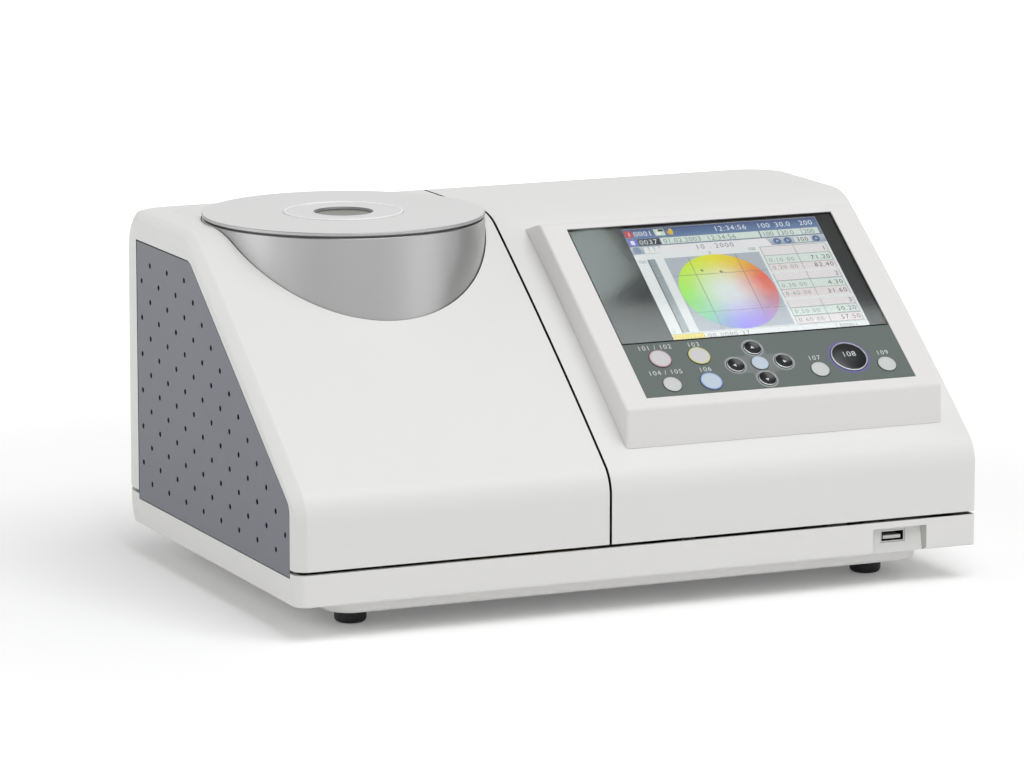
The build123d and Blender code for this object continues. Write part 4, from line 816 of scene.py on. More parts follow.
# The rounded edge and the side are rougher than the top and painted much darker: the roughness is the edge's
# own finish, and the darker colour is painted shade.
rim_satin_and_shade = turned("rim_satin_and_shade", (0.50, 0.50, 0.495), 0.5, streak=0.03, metallic=0.8)
shade_faces(plate, rim_satin_and_shade, lambda p, normal: from_port(p) > plate_outer - 0.4)
hand_over(plate, "port_plate", "silver_plate", "port_plate")

# Target mask: a flanged ring of the same silver, with a raised bead and a bevelled sample hole; the bead's
# top is painted pale as a painted highlight, and the bevel dark grey as painted shade. It drops into the
# plate's seat and lifts out to be changed.
mask_silver = turned("mask_silver", (0.84, 0.84, 0.84), 0.40, flat=1.0, streak=0.03, metallic=0.75)
sample_hole, mask_neck, mask_flange, mask_top = 15.0, 30.0, 31.8, 190.4
mask_profile = [(sample_hole, ring_top + 0.1), (sample_hole + 0.1, ring_top)]
mask_profile += [(mask_neck - 0.1, ring_top), (mask_neck, ring_top + 0.1), (mask_neck, seat_z)]
mask_profile += [(mask_flange, seat_z), (mask_flange, mask_top - 0.05), (mask_flange - 0.1, mask_top)]
mask_profile += [tuple(p) for p, n in arc((mask_flange - 0.7, mask_top + 0.05), 0.6, 0, pi, 12)]
mask_profile += [(mask_flange - 1.3, mask_top), (sample_hole + 0.9, mask_top), (sample_hole, mask_top - 0.9)]
mask = lathe("target_mask_ring", mask_profile, port_x, port_y, mask_silver, steps=160, sharp=25.0)
# Painted highlight: the bead's top is painted pale, for the bright arcs of light on it.
bead_highlight = moulded("bead_highlight", (0.93, 0.93, 0.925), 0.5, shade=0.02, metallic=0.2)
# Painted shade: the sample hole's bevel is painted dark grey, for the shade on its far side.
bevel_shade = moulded("bevel_shade", (0.22, 0.22, 0.22), 0.5, shade=0.05, metallic=0.3)
shade_faces(mask, bead_highlight, lambda p, normal: from_port(p) > 30.45 and p.z > mask_top - 0.02)
shade_faces(mask, bevel_shade, lambda p, normal: from_port(p) < sample_hole + 0.85 and p.z > 189.0)
hand_over(mask, "target_mask", "silver_plate", "target_mask")

# Side grille: a dark grey moulded panel perforated by two staggered grids of round holes, which stop short
# of its edges; its foot drops into the tray. The holes' walls are painted dark blue-grey, as painted shade
# inside the holes.
grille_grey = moulded("grille_grey", (0.172, 0.18, 0.209), 0.5, shade=0.05)
hole_wall_shade = moulded("hole_wall_shade", (0.035, 0.04, 0.06), 0.6)
grille_back_x = -190.5
grille_outline = rounded(grille_corners, (0, 0, 12.0, 8.0, 0))
grille_sides = (-side_x, grille_back_x)
grille = prism("side_grille_panel", grille_outline, lambda a, b, end: (grille_sides[end], a, b), grille_grey)
bevel(grille, 0.35, 50.0)

perforate = bpy.data.node_groups.new("perforate", "GeometryNodeTree")
perforate.is_modifier = True
perforate.interface.new_socket("Panel", in_out="INPUT", socket_type="NodeSocketGeometry")
perforate_inputs = {}
for input_name, kind, value in (
    ("Hole Radius", "NodeSocketFloat", 0.0015),
    ("Pitch Along", "NodeSocketFloat", 0.0257),
    ("Pitch Up", "NodeSocketFloat", 0.01966),
    ("First Along", "NodeSocketFloat", 0.0778),
    ("First Up", "NodeSocketFloat", 0.1614),
    ("Margin", "NodeSocketFloat", 0.005),
    ("Hole Sides", "NodeSocketInt", 24),
):
    socket = perforate.interface.new_socket(input_name, in_out="INPUT", socket_type=kind)
    socket.default_value = value
    perforate_inputs[input_name] = (socket.identifier, value)
perforate.interface.new_socket("Panel", in_out="OUTPUT", socket_type="NodeSocketGeometry")
hole_in = perforate.nodes.new("NodeGroupInput")
hole_out = perforate.nodes.new("NodeGroupOutput")


def geo(tree, kind, **inputs):
    """A geometry node with inputs by name, as numbers or as other nodes' outputs."""
    node = tree.nodes.new(kind)
    for key, value in inputs.items():
        socket = node.inputs[key.replace("_", " ")]
        if isinstance(value, bpy.types.NodeSocket):
            tree.links.new(value, socket)
        else:
            socket.default_value = value
    return node


def hole_grid(rows, columns, half_step):
    """Points of one grid: columns run forwards and rows run down from the first hole."""
    grid = geo(
        perforate, "GeometryNodeMeshGrid", Vertices_X=columns, Vertices_Y=rows, Size_X=1.0, Size_Y=1.0
    )
    place = perforate.nodes.new("GeometryNodeInputPosition")
    split = geo(perforate, "ShaderNodeSeparateXYZ", Vector=place.outputs[0])
    column = math_node(perforate, "ADD", split.outputs["X"], 0.5)
    column = math_node(perforate, "MULTIPLY", column, columns - 1.0)
    column = math_node(perforate, "SUBTRACT", column, half_step)
    row = math_node(perforate, "SUBTRACT", 0.5, split.outputs["Y"])
    row = math_node(perforate, "MULTIPLY", row, rows - 1.0)
    row = math_node(perforate, "ADD", row, half_step)
    forwards = math_node(perforate, "MULTIPLY", column, hole_in.outputs["Pitch Along"])
    down = math_node(perforate, "MULTIPLY", row, hole_in.outputs["Pitch Up"])
    along = math_node(perforate, "SUBTRACT", hole_in.outputs["First Along"], forwards)
    up = math_node(perforate, "SUBTRACT", hole_in.outputs["First Up"], down)
    there = geo(perforate, "ShaderNodeCombineXYZ", X=-0.1915, Y=along, Z=up)
    return geo(
        perforate, "GeometryNodeSetPosition", Geometry=grid.outputs["Mesh"], Position=there.outputs[0]
    )


both_grids = perforate.nodes.new("GeometryNodeJoinGeometry")
for rows, columns, half_step in ((7, 8, 0.0), (6, 9, 0.5)):
    wire(perforate, hole_grid(rows, columns, half_step).outputs[0], both_grids.inputs[0])
hole_place = perforate.nodes.new("GeometryNodeInputPosition")
hole_split = geo(perforate, "ShaderNodeSeparateXYZ", Vector=hole_place.outputs[0])
slope_dir = (Vector(grille_corners[3]) - Vector(grille_corners[2])).normalized()
slope_start = Vector(grille_corners[2]) * 0.001
away_y = math_node(perforate, "SUBTRACT", hole_split.outputs["Y"], slope_start.x)
away_y = math_node(perforate, "MULTIPLY", away_y, -slope_dir.y)
away_z = math_node(perforate, "SUBTRACT", hole_split.outputs["Z"], slope_start.y)
away_z = math_node(perforate, "MULTIPLY", away_z, slope_dir.x)
from_rear = math_node(perforate, "SUBTRACT", grille_corners[0][0] * 0.001, hole_split.outputs["Y"])
from_front = math_node(perforate, "ADD", hole_split.outputs["Y"], -grille_corners[3][0] * 0.001)
inside = math_node(perforate, "ADD", away_y, away_z)
inside = math_node(perforate, "MINIMUM", inside, from_rear)
inside = math_node(perforate, "MINIMUM", inside, from_front)
outside = math_node(perforate, "LESS_THAN", inside, hole_in.outputs["Margin"])
kept = geo(perforate, "GeometryNodeDeleteGeometry", Geometry=both_grids.outputs[0], Selection=outside)
drill = geo(
    perforate, "GeometryNodeMeshCylinder",
    Vertices=hole_in.outputs["Hole Sides"], Radius=hole_in.outputs["Hole Radius"], Depth=0.006,
)
drill.fill_type = "NGON"
drill_paint = geo(perforate, "GeometryNodeSetMaterial", Geometry=drill.outputs["Mesh"], Material=hole_wall_shade)
drills = geo(
    perforate, "GeometryNodeInstanceOnPoints",
    Points=kept.outputs[0], Instance=drill_paint.outputs[0], Rotation=(0.0, pi / 2, 0.0),
)
drills = geo(perforate, "GeometryNodeRealizeInstances", Geometry=drills.outputs[0])
bored = perforate.nodes.new("GeometryNodeMeshBoolean")
bored.operation = "DIFFERENCE"
bored.solver = "EXACT"
wire(perforate, hole_in.outputs["Panel"], bored.inputs["Mesh 1"])
wire(perforate, drills.outputs[0], bored.inputs["Mesh 2"])
whole = geo(perforate, "GeometryNodeRealizeInstances", Geometry=bored.outputs["Mesh"])
# Painted shade: the small upright faces, which are the walls of the holes, get the dark colour.
walls_of_holes = geo(perforate, "GeometryNodeSetMaterial", Geometry=whole.outputs[0], Material=hole_wall_shade)
normal_in = perforate.nodes.new("GeometryNodeInputNormal")
normal_split = geo(perforate, "ShaderNodeSeparateXYZ", Vector=normal_in.outputs[0])
slant = math_node(perforate, "ABSOLUTE", normal_split.outputs["X"])
sideways = math_node(perforate, "LESS_THAN", slant, 0.3)
area = perforate.nodes.new("GeometryNodeInputMeshFaceArea")
small = math_node(perforate, "LESS_THAN", area.outputs[0], 0.0000012)
wire(perforate, math_node(perforate, "MULTIPLY", sideways, small), walls_of_holes.inputs["Selection"])
wire(perforate, walls_of_holes.outputs[0], hole_out.inputs[0])
holes = grille.modifiers.new("perforations", "NODES")
holes.node_group = perforate
for identifier, value in perforate_inputs.values():
    holes[identifier] = value
settle(grille)
smooth(grille, 30.0)
hand_over(grille, "carriage", "grey_panel", "side_grille")

# Base tray: a shallow white moulding with a rounded lower edge, which stands on a narrower plinth.
# It is notched for the grille's foot and recessed round the front socket.
tray_white = moulded("tray_white", (0.80, 0.795, 0.78), 0.42, shade=0.012)


def soften(node_name, width, material):
    """A copy of a CAD node's mesh, merged, with its sharp edges rounded."""
    mesh = nodes[node_name].data.copy()
    piece = bpy.data.objects.new(node_name + "_finished", mesh)
    scene.collection.objects.link(piece)
    mesh.materials.clear()
    mesh.materials.append(material)
    shape = bmesh.new()
    shape.from_mesh(mesh)
    bmesh.ops.remove_doubles(shape, verts=shape.verts, dist=2e-6)
    bmesh.ops.dissolve_limit(
        shape, angle_limit=radians(0.6), verts=shape.verts, edges=shape.edges, delimit={"NORMAL"}
    )
    for face in shape.faces:
        face.material_index = 0
    edges = [
        edge
        for edge in shape.edges
        if len(edge.link_faces) == 2 and edge.calc_face_angle(0) > radians(38.0)
    ]
    if width:
        bmesh.ops.bevel(
            shape, geom=edges, offset=width * 0.001, segments=2, affect="EDGES", profile=0.5,
            clamp_overlap=True,
        )
    shape.to_mesh(mesh)
    shape.free()
    return smooth(piece, 30.0)


tray = soften("base_tray", 0.35, tray_white)
tray_foot_z, tray_rim_z, rim_drop = 18.0, 35.1, 0.5
rear_radius, left_front_radius, right_front_radius = 25.0, 5.5, 2.0
tighter = 0.36
foot_band = 8.0
front_round, rear_round = 1.5, 13.5
# Set the rim a little lower, for a clear joint under the covers. Tighten the right front corner and
# the lower edge at the front and sides, and round that edge more along the rear.
for vertex in tray.data.vertices:
    x, y, z = vertex.co * 1000.0
    if x > side_x - 5.51 and y < 5.51 - rear_y:
        x, y = side_x - (side_x - x) * tighter, (rear_y + y) * tighter - rear_y
        vertex.co.xy = (x * 0.001, y * 0.001)
    if z > tray_rim_z:
        vertex.co.z -= rim_drop * 0.001
        continue
    front_radius = right_front_radius if x > 0 else left_front_radius
    corner_radius = rear_radius if y > 0 else front_radius
    over_x = abs(x) - (side_x - corner_radius)
    over_y = abs(y) - (rear_y - corner_radius)
    if over_x > 0.001 and over_y > 0.001:
        reach = hypot(over_x, over_y)
        depth = corner_radius - reach
        outward = Vector((over_x / reach, over_y / reach))
    elif side_x - abs(x) < rear_y - abs(y):
        depth, outward = side_x - abs(x), Vector((1.0, 0.0))
    else:
        depth, outward = rear_y - abs(y), Vector((0.0, 1.0))
    height = z - tray_foot_z
    if -0.01 < height < foot_band and depth < foot_band and (depth < 2.9 or height < 2.4):
        towards_rear = min(outward.y / 0.42, 1.0) if y > 0 else 0.0
        less = 1.0 - (front_round + (rear_round - front_round) * towards_rear) / foot_band
        vertex.co.x += (1 if x > 0 else -1) * outward.x * depth * less * 0.001
        vertex.co.y += (1 if y > 0 else -1) * outward.y * depth * less * 0.001
        vertex.co.z -= height * less * 0.001


def in_socket_recess(p, normal):
    """The shallow recess round the front socket."""
    return abs(p.x - 147.5) < 16.6 and -130.4 < p.y < -127.0 and p.z < 31.5


def at_recess_side(p, normal):
    """The recess's right-hand wall, which faces away from the light."""
    return 160.5 < p.x < 164.5 and normal.x < -0.3 and p.y < -127.0 and p.z < 31.5


recess_shade = moulded("recess_shade", (0.70, 0.70, 0.685), 0.5, shade=0.02)
recess_side = moulded("recess_side", (0.44, 0.44, 0.425), 0.5, shade=0.02)
shade_faces(tray, recess_shade, in_socket_recess)
shade_faces(tray, recess_side, at_recess_side)
hand_over(tray, "base", "white_casing", "base_tray")

# Feet: four black rubber bumpers with a rounded edge, each held by a screw in a deep pocket; one is
# modelled and set four times.
foot_rubber = moulded("foot_rubber", (0.014, 0.014, 0.015), 0.62, shade=0.3)
screw_steel = turned("screw_steel", (0.55, 0.55, 0.53), 0.32, centre=(0, 0), flat=1.0, streak=0.1)


def set_out(name, pattern, places, material):
    """Repeat a small piece at named places with Geometry Nodes and turn the result into mesh."""
    tree = bpy.data.node_groups.new(name + "_layout", "GeometryNodeTree")
    tree.is_modifier = True
    tree.interface.new_socket("Geometry", in_out="INPUT", socket_type="NodeSocketGeometry")
    identifiers = []
    for number in range(1, len(places) + 1):
        socket = tree.interface.new_socket(
            "Place %d" % number, in_out="INPUT", socket_type="NodeSocketVector"
        )
        identifiers.append(socket.identifier)
    tree.interface.new_socket("Geometry", in_out="OUTPUT", socket_type="NodeSocketGeometry")
    start = tree.nodes.new("NodeGroupInput")
    end = tree.nodes.new("NodeGroupOutput")
    every = tree.nodes.new("GeometryNodeJoinGeometry")
    for place in start.outputs[1 : len(places) + 1]:
        moved = geo(tree, "GeometryNodeTransform", Geometry=start.outputs[0], Translation=place)
        wire(tree, moved.outputs[0], every.inputs[0])
    real = geo(tree, "GeometryNodeRealizeInstances", Geometry=every.outputs[0])
    dressed = geo(tree, "GeometryNodeSetMaterial", Geometry=real.outputs[0], Material=material)
    wire(tree, dressed.outputs[0], end.inputs[0])
    pattern.name = name
    step = pattern.modifiers.new("layout", "NODES")
    step.node_group = tree
    for identifier, place in zip(identifiers, places):
        step[identifier] = [c * 0.001 for c in place]
    settle(pattern)
    return smooth(pattern)


foot_radius, foot_height, foot_edge = 8.3, 10.0, 2.5
pocket_radius, pocket_depth, screw_hole = 3.7, 5.0, 2.1
foot_profile = [(screw_hole, pocket_depth), (pocket_radius, pocket_depth), (pocket_radius, 0.3)]
edge_centre = (foot_radius - foot_edge, foot_edge)
foot_profile += [(pocket_radius + 0.3, 0.0), (edge_centre[0], 0.0)]
foot_profile += [tuple(p) for p, n in arc(edge_centre, foot_edge, -pi / 2, 0, 8)][1:]
foot_profile += [(foot_radius, 8.2), (foot_radius - 0.2, 8.4), (foot_radius - 0.2, 8.9)]
foot_profile += [(foot_radius, 9.1), (foot_radius, foot_height - 0.2)]
foot_profile += [(foot_radius - 0.2, foot_height), (screw_hole, foot_height)]
foot = lathe("foot", foot_profile, 0, 0, foot_rubber, steps=64)
foot_places = [(x, y, 0) for x in (-147.7, 147.7) for y in (-91.0, 72.0)]
feet = set_out("rubber_feet_set", foot, foot_places, foot_rubber)
hand_over(feet, "base", "black_rubber", "rubber_feet")


# Screws: zinc-plated steel with a cross recess. Four hold the feet, and four hold the right cover
# to the tray from below.


def cross_screw(name, head_radius, head_low, head_high, shank_radius, shank_end, material):
    """A pan-head screw, head down or up, with a cross recess; built round its own axis."""
    down = head_high <= shank_end
    face, seat = (head_low, head_high) if down else (head_high, head_low)
    turn = 0.35 * (1 if down else -1)
    profile = [(0.0, face), (head_radius * 0.72, face), (head_radius, face + 2 * turn), (head_radius, seat)]
    profile += [(shank_radius, seat)]
    pitch = 0.5 if shank_end > seat else -0.5
    count = int(abs(shank_end - seat) / 0.5) - 1
    for k in range(count):
        z = seat + pitch * (k + 1)
        profile += [(shank_radius, z - pitch / 4), (shank_radius - 0.22, z + pitch / 4)]
    profile += [(shank_radius - 0.3, shank_end), (0.0, shank_end)]
    screw = lathe(name, profile, 0, 0, material, steps=24)
    depth = 1.1 if down else -1.1
    arm = head_radius * 0.5
    low, high = sorted((face - depth * 0.1, face + depth))
    slots = [
        box("slot_a", (-arm, -0.35, low), (arm, 0.35, high)),
        box("slot_b", (-0.35, -arm, low), (0.35, arm, high)),
    ]
    return cut(screw, *slots)


foot_screw = cross_screw("foot_screw", 2.8, 2.8, 5.0, 1.5, 18.0, screw_steel)
foot_screws = set_out("foot_screws_set", foot_screw, foot_places, screw_steel)
hand_over(foot_screws, "base", "zinc_steel", "foot_screws")
cover_screw = cross_screw("cover_screw", 3.2, 18.8, 21.0, 1.75, 47.8, screw_steel)
cover_screw_places = [(x, y, 0) for x, y in right_boss_places]
cover_screws = set_out("cover_screws_set", cover_screw, cover_screw_places, screw_steel)
hand_over(cover_screws, "base", "zinc_steel", "cover_screws")

# Display bezel: a raised wedge moulded in white ABS, hollow, with a ledged opening for the glass
# and the keypad and four rails that carry the modules.
bezel_white = moulded("bezel_white", (0.785, 0.775, 0.77), 0.40, shade=0.012)
face_angle = slope_angle - radians(0.53)
face_front_y = -116.2
face_front_z = slope_height(face_front_y) + 20.8
face_length = 136.3
bezel_left, bezel_right = -4.0, 179.0
bezel_wall, bezel_face_wall = 2.5, 3.2


def face_point(x, u, n):
    """World place of a point given along, up and out of the bezel's face."""
    return (
        x,
        face_front_y + u * cos(face_angle) - n * sin(face_angle),
        face_front_z + u * sin(face_angle) + n * cos(face_angle),
    )


def on_face(p):
    """How far a point lies up the bezel's face and out from it."""
    y = p.y - face_front_y
    z = p.z - face_front_z
    return y * cos(face_angle) + z * sin(face_angle), z * cos(face_angle) - y * sin(face_angle)


def face_box(name, x0, x1, u0, u1, n0, n1, *materials):
    """A closed box set square to the bezel's face."""
    corners = [(x0, u0), (x1, u0), (x1, u1), (x0, u1)]
    return prism(name, corners, lambda a, b, end: face_point(a, b, n1 if end else n0), *materials)


def lay(piece, x, u):
    """Lay a piece that was built upright at the origin on the bezel's face."""
    for vertex in piece.data.vertices:
        a, b, c = vertex.co * 1000.0
        vertex.co = Vector(face_point(x + a, u + b, c)) * 0.001
    return piece


back = radians(16.0)
ridge_y, ridge_z = face_point(0, face_length, 0)[1:]
casing_curve = [p for p in casing_line(-0.2) if -118.0 < p.x < 30.0 and p.y > 70.0]
under_bezel = []
for first, second in zip(casing_curve, casing_curve[1:]):
    gap_first = ridge_z - (first.x - ridge_y) * tan(back) - first.y
    gap_second = ridge_z - (second.x - ridge_y) * tan(back) - second.y
    if gap_first < 0 <= gap_second:
        share = gap_first / (gap_first - gap_second)
        under_bezel.append(tuple(first + (second - first) * share))
    if gap_second >= 0 and second.x > face_front_y + 0.5:
        under_bezel.append(tuple(second))
under_bezel.append((face_front_y, slope_height(face_front_y) + 0.25))
bezel_outline = [(face_front_y, face_front_z), (ridge_y, ridge_z)] + under_bezel
bezel_ends = (bezel_left, bezel_right)
bezel = prism("display_bezel_wedge", bezel_outline, lambda a, b, end: (bezel_ends[end], a, b), bezel_white)


def at_bezel_edge(edge):
    """An edge of the face, or an upright edge of the front."""
    ends = [vertex.co * 1000.0 for vertex in edge.verts]
    in_face = all(abs(on_face(p)[1]) < 0.01 for p in ends)
    at_front = all(abs(p.y - face_front_y) < 0.01 for p in ends)
    return in_face or (at_front and abs(ends[0].x - ends[1].x) <= 1.0)


round_edges(bezel, 1.6, 6, at_bezel_edge)
inner_u = (bezel_wall - bezel_face_wall * sin(face_angle)) / cos(face_angle)
inner_front = face_point(0, inner_u, -bezel_face_wall)[1:]
back_drop = bezel_wall / cos(back)
face_drop = bezel_face_wall / cos(face_angle)
inner_ridge_y = ridge_y - (back_drop - face_drop) / (tan(face_angle) + tan(back))
inner_ridge_z = ridge_z - back_drop - (inner_ridge_y - ridge_y) * tan(back)
inner_rear_y = 22.0
inner_outline = [
    inner_front,
    (inner_ridge_y, inner_ridge_z),
    (inner_rear_y, inner_ridge_z - (inner_rear_y - inner_ridge_y) * tan(back)),
    (inner_rear_y, 60.0),
    (inner_front[0], 60.0),
]
inner_ends = (bezel_left + bezel_wall, bezel_right - bezel_wall)
hollow = prism("hollow", inner_outline, lambda a, b, end: (inner_ends[end], a, b))
pocket_left, pocket_right, pocket_low, pocket_high = 10.0, 166.4, 7.0, 131.4
ledge = 1.2
pocket = face_box("pocket", pocket_left, pocket_right, pocket_low, pocket_high, -2.2, 5.0)
window = face_box(
    "window", pocket_left + ledge, pocket_right - ledge, pocket_low + ledge, pocket_high - ledge, -8.0, 5.0
)
cut(bezel, hollow, pocket, window)


def at_pocket_rim(edge):
    """A sharp edge between the pocket and the face."""
    if len(edge.link_faces) != 2 or edge.calc_face_angle(0) < radians(60):
        return False
    ends = [vertex.co * 1000.0 for vertex in edge.verts]
    return all(abs(on_face(p)[1]) < 0.01 and 9.5 < p.x < 167.0 for p in ends)


round_edges(bezel, 0.3, 2, at_pocket_rim)
for number, (u, top) in enumerate(((57.6, -9.9), (119.2, -9.9), (12.2, -8.2), (40.6, -8.2))):
    join(bezel, face_box("rail_%d" % number, -1.5, 176.5, u - 1.5, u + 1.5, top - 3.0, top, bezel_white))
smooth(bezel)
hand_over(bezel, "base", "bezel_white", "display_bezel")

# Screen window: a flat glass pane, laid in the bezel's pocket and printed black on the back round
# the picture.


def srgb(red, green, blue):
    """Linear colour from the usual 0-255 values."""
    return tuple(
        (v / 255 / 12.92) if v / 255 <= 0.04045 else ((v / 255 + 0.055) / 1.055) ** 2.4
        for v in (red, green, blue)
    )


def clear_glass(name, colour, transmission, smear_scale, smear_detail, smear, roughness):
    """Clear glass with faint smears, which are kept in its gloss."""
    material, tree, shader = plain_material(name)
    shader.inputs["Base Color"].default_value = (*colour, 1)
    shader.inputs["Transmission Weight"].default_value = transmission
    shader.inputs["IOR"].default_value = 1.5
    place = tree.nodes.new("ShaderNodeTexCoord").outputs["Object"]
    smears = noise_node(tree, place, smear_scale, smear_detail)
    wire(tree, math_node(tree, "MULTIPLY_ADD", smears, smear, roughness), shader.inputs["Roughness"])
    return material


window_glass = clear_glass("window_glass", (0.97, 0.985, 0.98), 1.0, 40.0, 3.0, 0.02, 0.03)
screen_print = moulded("screen_print", (0.006, 0.007, 0.008), 0.35, shade=0.2)
pane_left, pane_right, pane_low, pane_high = 10.2, 166.2, 45.85, 131.2
pane = face_box("display_glass_pane", pane_left, pane_right, pane_low, pane_high, -1.7, -0.2, window_glass)
bevel(pane, 0.4)


def at_pane_edge(p, normal):
    """The pane's ground edge."""
    u = on_face(p)[0]
    return min(p.x - pane_left, pane_right - p.x, u - pane_low, pane_high - u) < 0.39


shade_faces(pane, screen_print, at_pane_edge)
view_left, view_right, view_low, view_high = 41.0, 156.0, 46.2, 129.2
print_low, print_high = pane_low + 0.2, pane_high - 0.2
for x0, x1, u0, u1 in (
    (pane_left + 0.2, view_left, print_low, print_high),
    (view_right, pane_right - 0.2, print_low, print_high),
    (view_left, view_right, view_high, print_high),
    (view_left, view_right, print_low, view_low),
):
    join(pane, face_box("border", x0, x1, u0, u1, -1.74, -1.715, screen_print))
hand_over(pane, "base", "window_glass", "display_glass")

# Display module: a steel-framed liquid crystal panel; its picture is lit from behind and drawn
# as flat patches, digits and a disc of hues.
module_metal = moulded("module_metal", (0.32, 0.32, 0.31), 0.35, metallic=1.0, stipple=600.0)
module = face_box("lcd_module_frame", 36.2, 162.2, 46.1, 130.0, -9.9, -1.95, module_metal)
bevel(module, 0.4)
hand_over(module, "base", "display", "lcd_module")

picture_points, picture_faces, picture_tints = [], [], []


def picture_point(x, u, layer):
    """A point of the picture; its layers lie close above each other."""
    return face_point(x, u, -1.93 + 0.012 * layer)


def patch(x0, x1, u0, u1, colour, layer=1, upper=None, lean=0.0):
    """A flat patch of the picture, with a second colour along its upper edge if wanted."""
    first = len(picture_points)
    corners = ((x0, u0), (x1, u0), (x1 - lean, u1), (x0 + lean, u1))
    picture_points.extend(picture_point(x, u, layer) for x, u in corners)
    picture_faces.append((first, first + 1, first + 2, first + 3))
    top = srgb(*(upper or colour))
    picture_tints.append((srgb(*colour), srgb(*colour), top, top))


def spot(x, u, radius, colour, layer=2, sides=20):
    """A round patch of the picture."""
    first = len(picture_points)
    for k in range(sides):
        angle = 2 * pi * k / sides
        picture_points.append(picture_point(x + radius * cos(angle), u + radius * sin(angle), layer))
    picture_faces.append(tuple(range(first, first + sides)))
    picture_tints.append((srgb(*colour),) * sides)


def text_mesh(text, size, align="LEFT", spacing=1.0):
    """Vertices and faces of flat figures whose capitals are about 0.7 of the size high."""
    curve = bpy.data.curves.new("figures", "FONT")
    curve.body = text
    curve.size = size
    curve.align_x = align
    curve.space_character = spacing
    curve.resolution_u = 3
    writing = bpy.data.objects.new("figures", curve)
    scene.collection.objects.link(writing)
    graph = bpy.context.evaluated_depsgraph_get()
    mesh = bpy.data.meshes.new_from_object(writing.evaluated_get(graph))
    points = [tuple(vertex.co) for vertex in mesh.vertices]
    faces = [tuple(face.vertices) for face in mesh.polygons]
    bpy.data.objects.remove(writing)
    bpy.data.curves.remove(curve)
    bpy.data.meshes.remove(mesh)
    return points, faces


def figures(text, x, u, height, colour, layer=3, align="LEFT", spacing=1.0):
    """Figures on the picture; x and u give the foot of the first one."""
    points, faces = text_mesh(text, height / 0.7, align, spacing)
    first = len(picture_points)
    picture_points.extend(picture_point(x + a, u + b, layer) for a, b, c in points)
    for face in faces:
        picture_faces.append(tuple(first + k for k in face))
        picture_tints.append((srgb(*colour),) * len(face))


dark_ink = (62, 74, 74)
title_ink = (240, 246, 250)
date_ink = (120, 136, 130)
pale_ink = (245, 248, 250)
patch(view_left - 0.3, view_right + 0.3, view_low - 0.2, view_high + 0.2, (238, 242, 243), 0)
# Top bar, second bar and the row of tabs.
patch(view_left, view_right, 121.8, view_high, (104, 134, 176), 1, upper=(62, 84, 134))
patch(41.7, 46.3, 123.0, 127.9, (196, 52, 46), 2)
figures("1", 43.2, 123.9, 3.2, (250, 235, 235))
figures("0001", 46.9, 123.7, 3.5, pale_ink, spacing=1.12)
patch(59.2, 65.2, 123.2, 128.2, (216, 232, 206), 2)
patch(60.2, 62.6, 124.0, 125.8, (250, 250, 250), 3)
patch(61.8, 64.8, 126.2, 127.8, (30, 34, 34), 3)
patch(67.6, 70.4, 125.6, 128.0, (232, 200, 60), 2, lean=0.8)
patch(67.2, 69.6, 123.4, 126.0, (226, 184, 50), 3, lean=-0.8)
for text, x, spacing in (
    ("12:34:56", 94.2, 1.12), ("100", 119.6, 1.1), ("30.0", 130.4, 1.1), ("200", 145.0, 1.1),
):
    figures(text, x, 123.7, 3.5, title_ink, spacing=spacing)
patch(view_left, view_right, 116.0, 121.9, (120, 134, 160), 1)
patch(41.7, 46.9, 116.8, 121.5, (112, 112, 214), 2)
patch(43.0, 45.4, 117.6, 120.6, (236, 238, 250), 3)
patch(47.2, 60.2, 116.8, 121.5, (30, 33, 48), 2)
figures("0037", 48.0, 117.4, 3.4, pale_ink, spacing=1.12)
for x0, x1 in ((60.7, 119.0), (119.8, 130.2), (130.7, 144.0), (144.4, 154.4)):
    patch(x0, x1, 116.8, 121.5, (222, 236, 228), 2)
for text, x, spacing in (
    ("01.02.2003  12:34:56", 62.0, 1.1), ("100", 120.6, 1.0), ("30.0", 131.6, 1.0), ("200", 145.2, 1.0),
):
    figures(text, x, 117.4, 3.2, date_ink, spacing=spacing)
patch(view_left, view_right, 110.4, 116.0, (150, 165, 182), 1, upper=(206, 214, 222))
spot(44.6, 113.4, 2.4, (128, 146, 178))
for x0 in (47.4, 50.6, 53.8):
    patch(x0 + 0.9, x0 + 4.4, 110.6, 115.4, (240, 242, 242), 2, lean=0.7)
patch(56.6, 123.4, 110.3, 115.9, (243, 241, 245), 3, lean=2.2)
figures("10 . 2000", 90.0, 111.4, 3.3, (116, 120, 122), 4, align="CENTER", spacing=1.25)
for x in (127.3, 133.6, 150.6):
    spot(x, 113.2, 2.3, (88, 112, 158))
    spot(x, 113.2, 1.0, (206, 214, 232), 3, sides=3)
patch(137.6, 147.8, 111.2, 115.6, (226, 230, 230), 2)
figures("300", 138.8, 111.8, 3.0, (70, 80, 84), spacing=1.15)
# Lightness bar, grid and marks round the disc of hues.
patch(48.4, 52.2, 51.8, 106.2, (168, 180, 184), 1, upper=(150, 162, 168))
patch(47.7, 48.4, 51.8, 106.2, (96, 106, 104), 1)
for u in (97.4, 92.2, 78.8, 65.3, 101.0):
    patch(48.4, 52.2, u, u + 0.35, (110, 122, 124), 2)
figures("100", 42.0, 103.6, 2.2, (150, 156, 156))
figures("0", 42.6, 52.2, 2.0, (150, 156, 156))
figures("100", 107.8, 107.6, 2.2, (130, 138, 138))
figures("0", 84.6, 107.2, 1.8, (110, 116, 116))
grid_left, grid_right, grid_low, grid_high = 57.5, 113.6, 51.8, 106.3
patch(grid_left, grid_right, grid_low, grid_high, (182, 190, 200), 1)
grid_ink = (112, 122, 128)
for x in (71.4, 99.4):
    patch(x - 0.14, x + 0.14, grid_low, grid_high, grid_ink, 5)
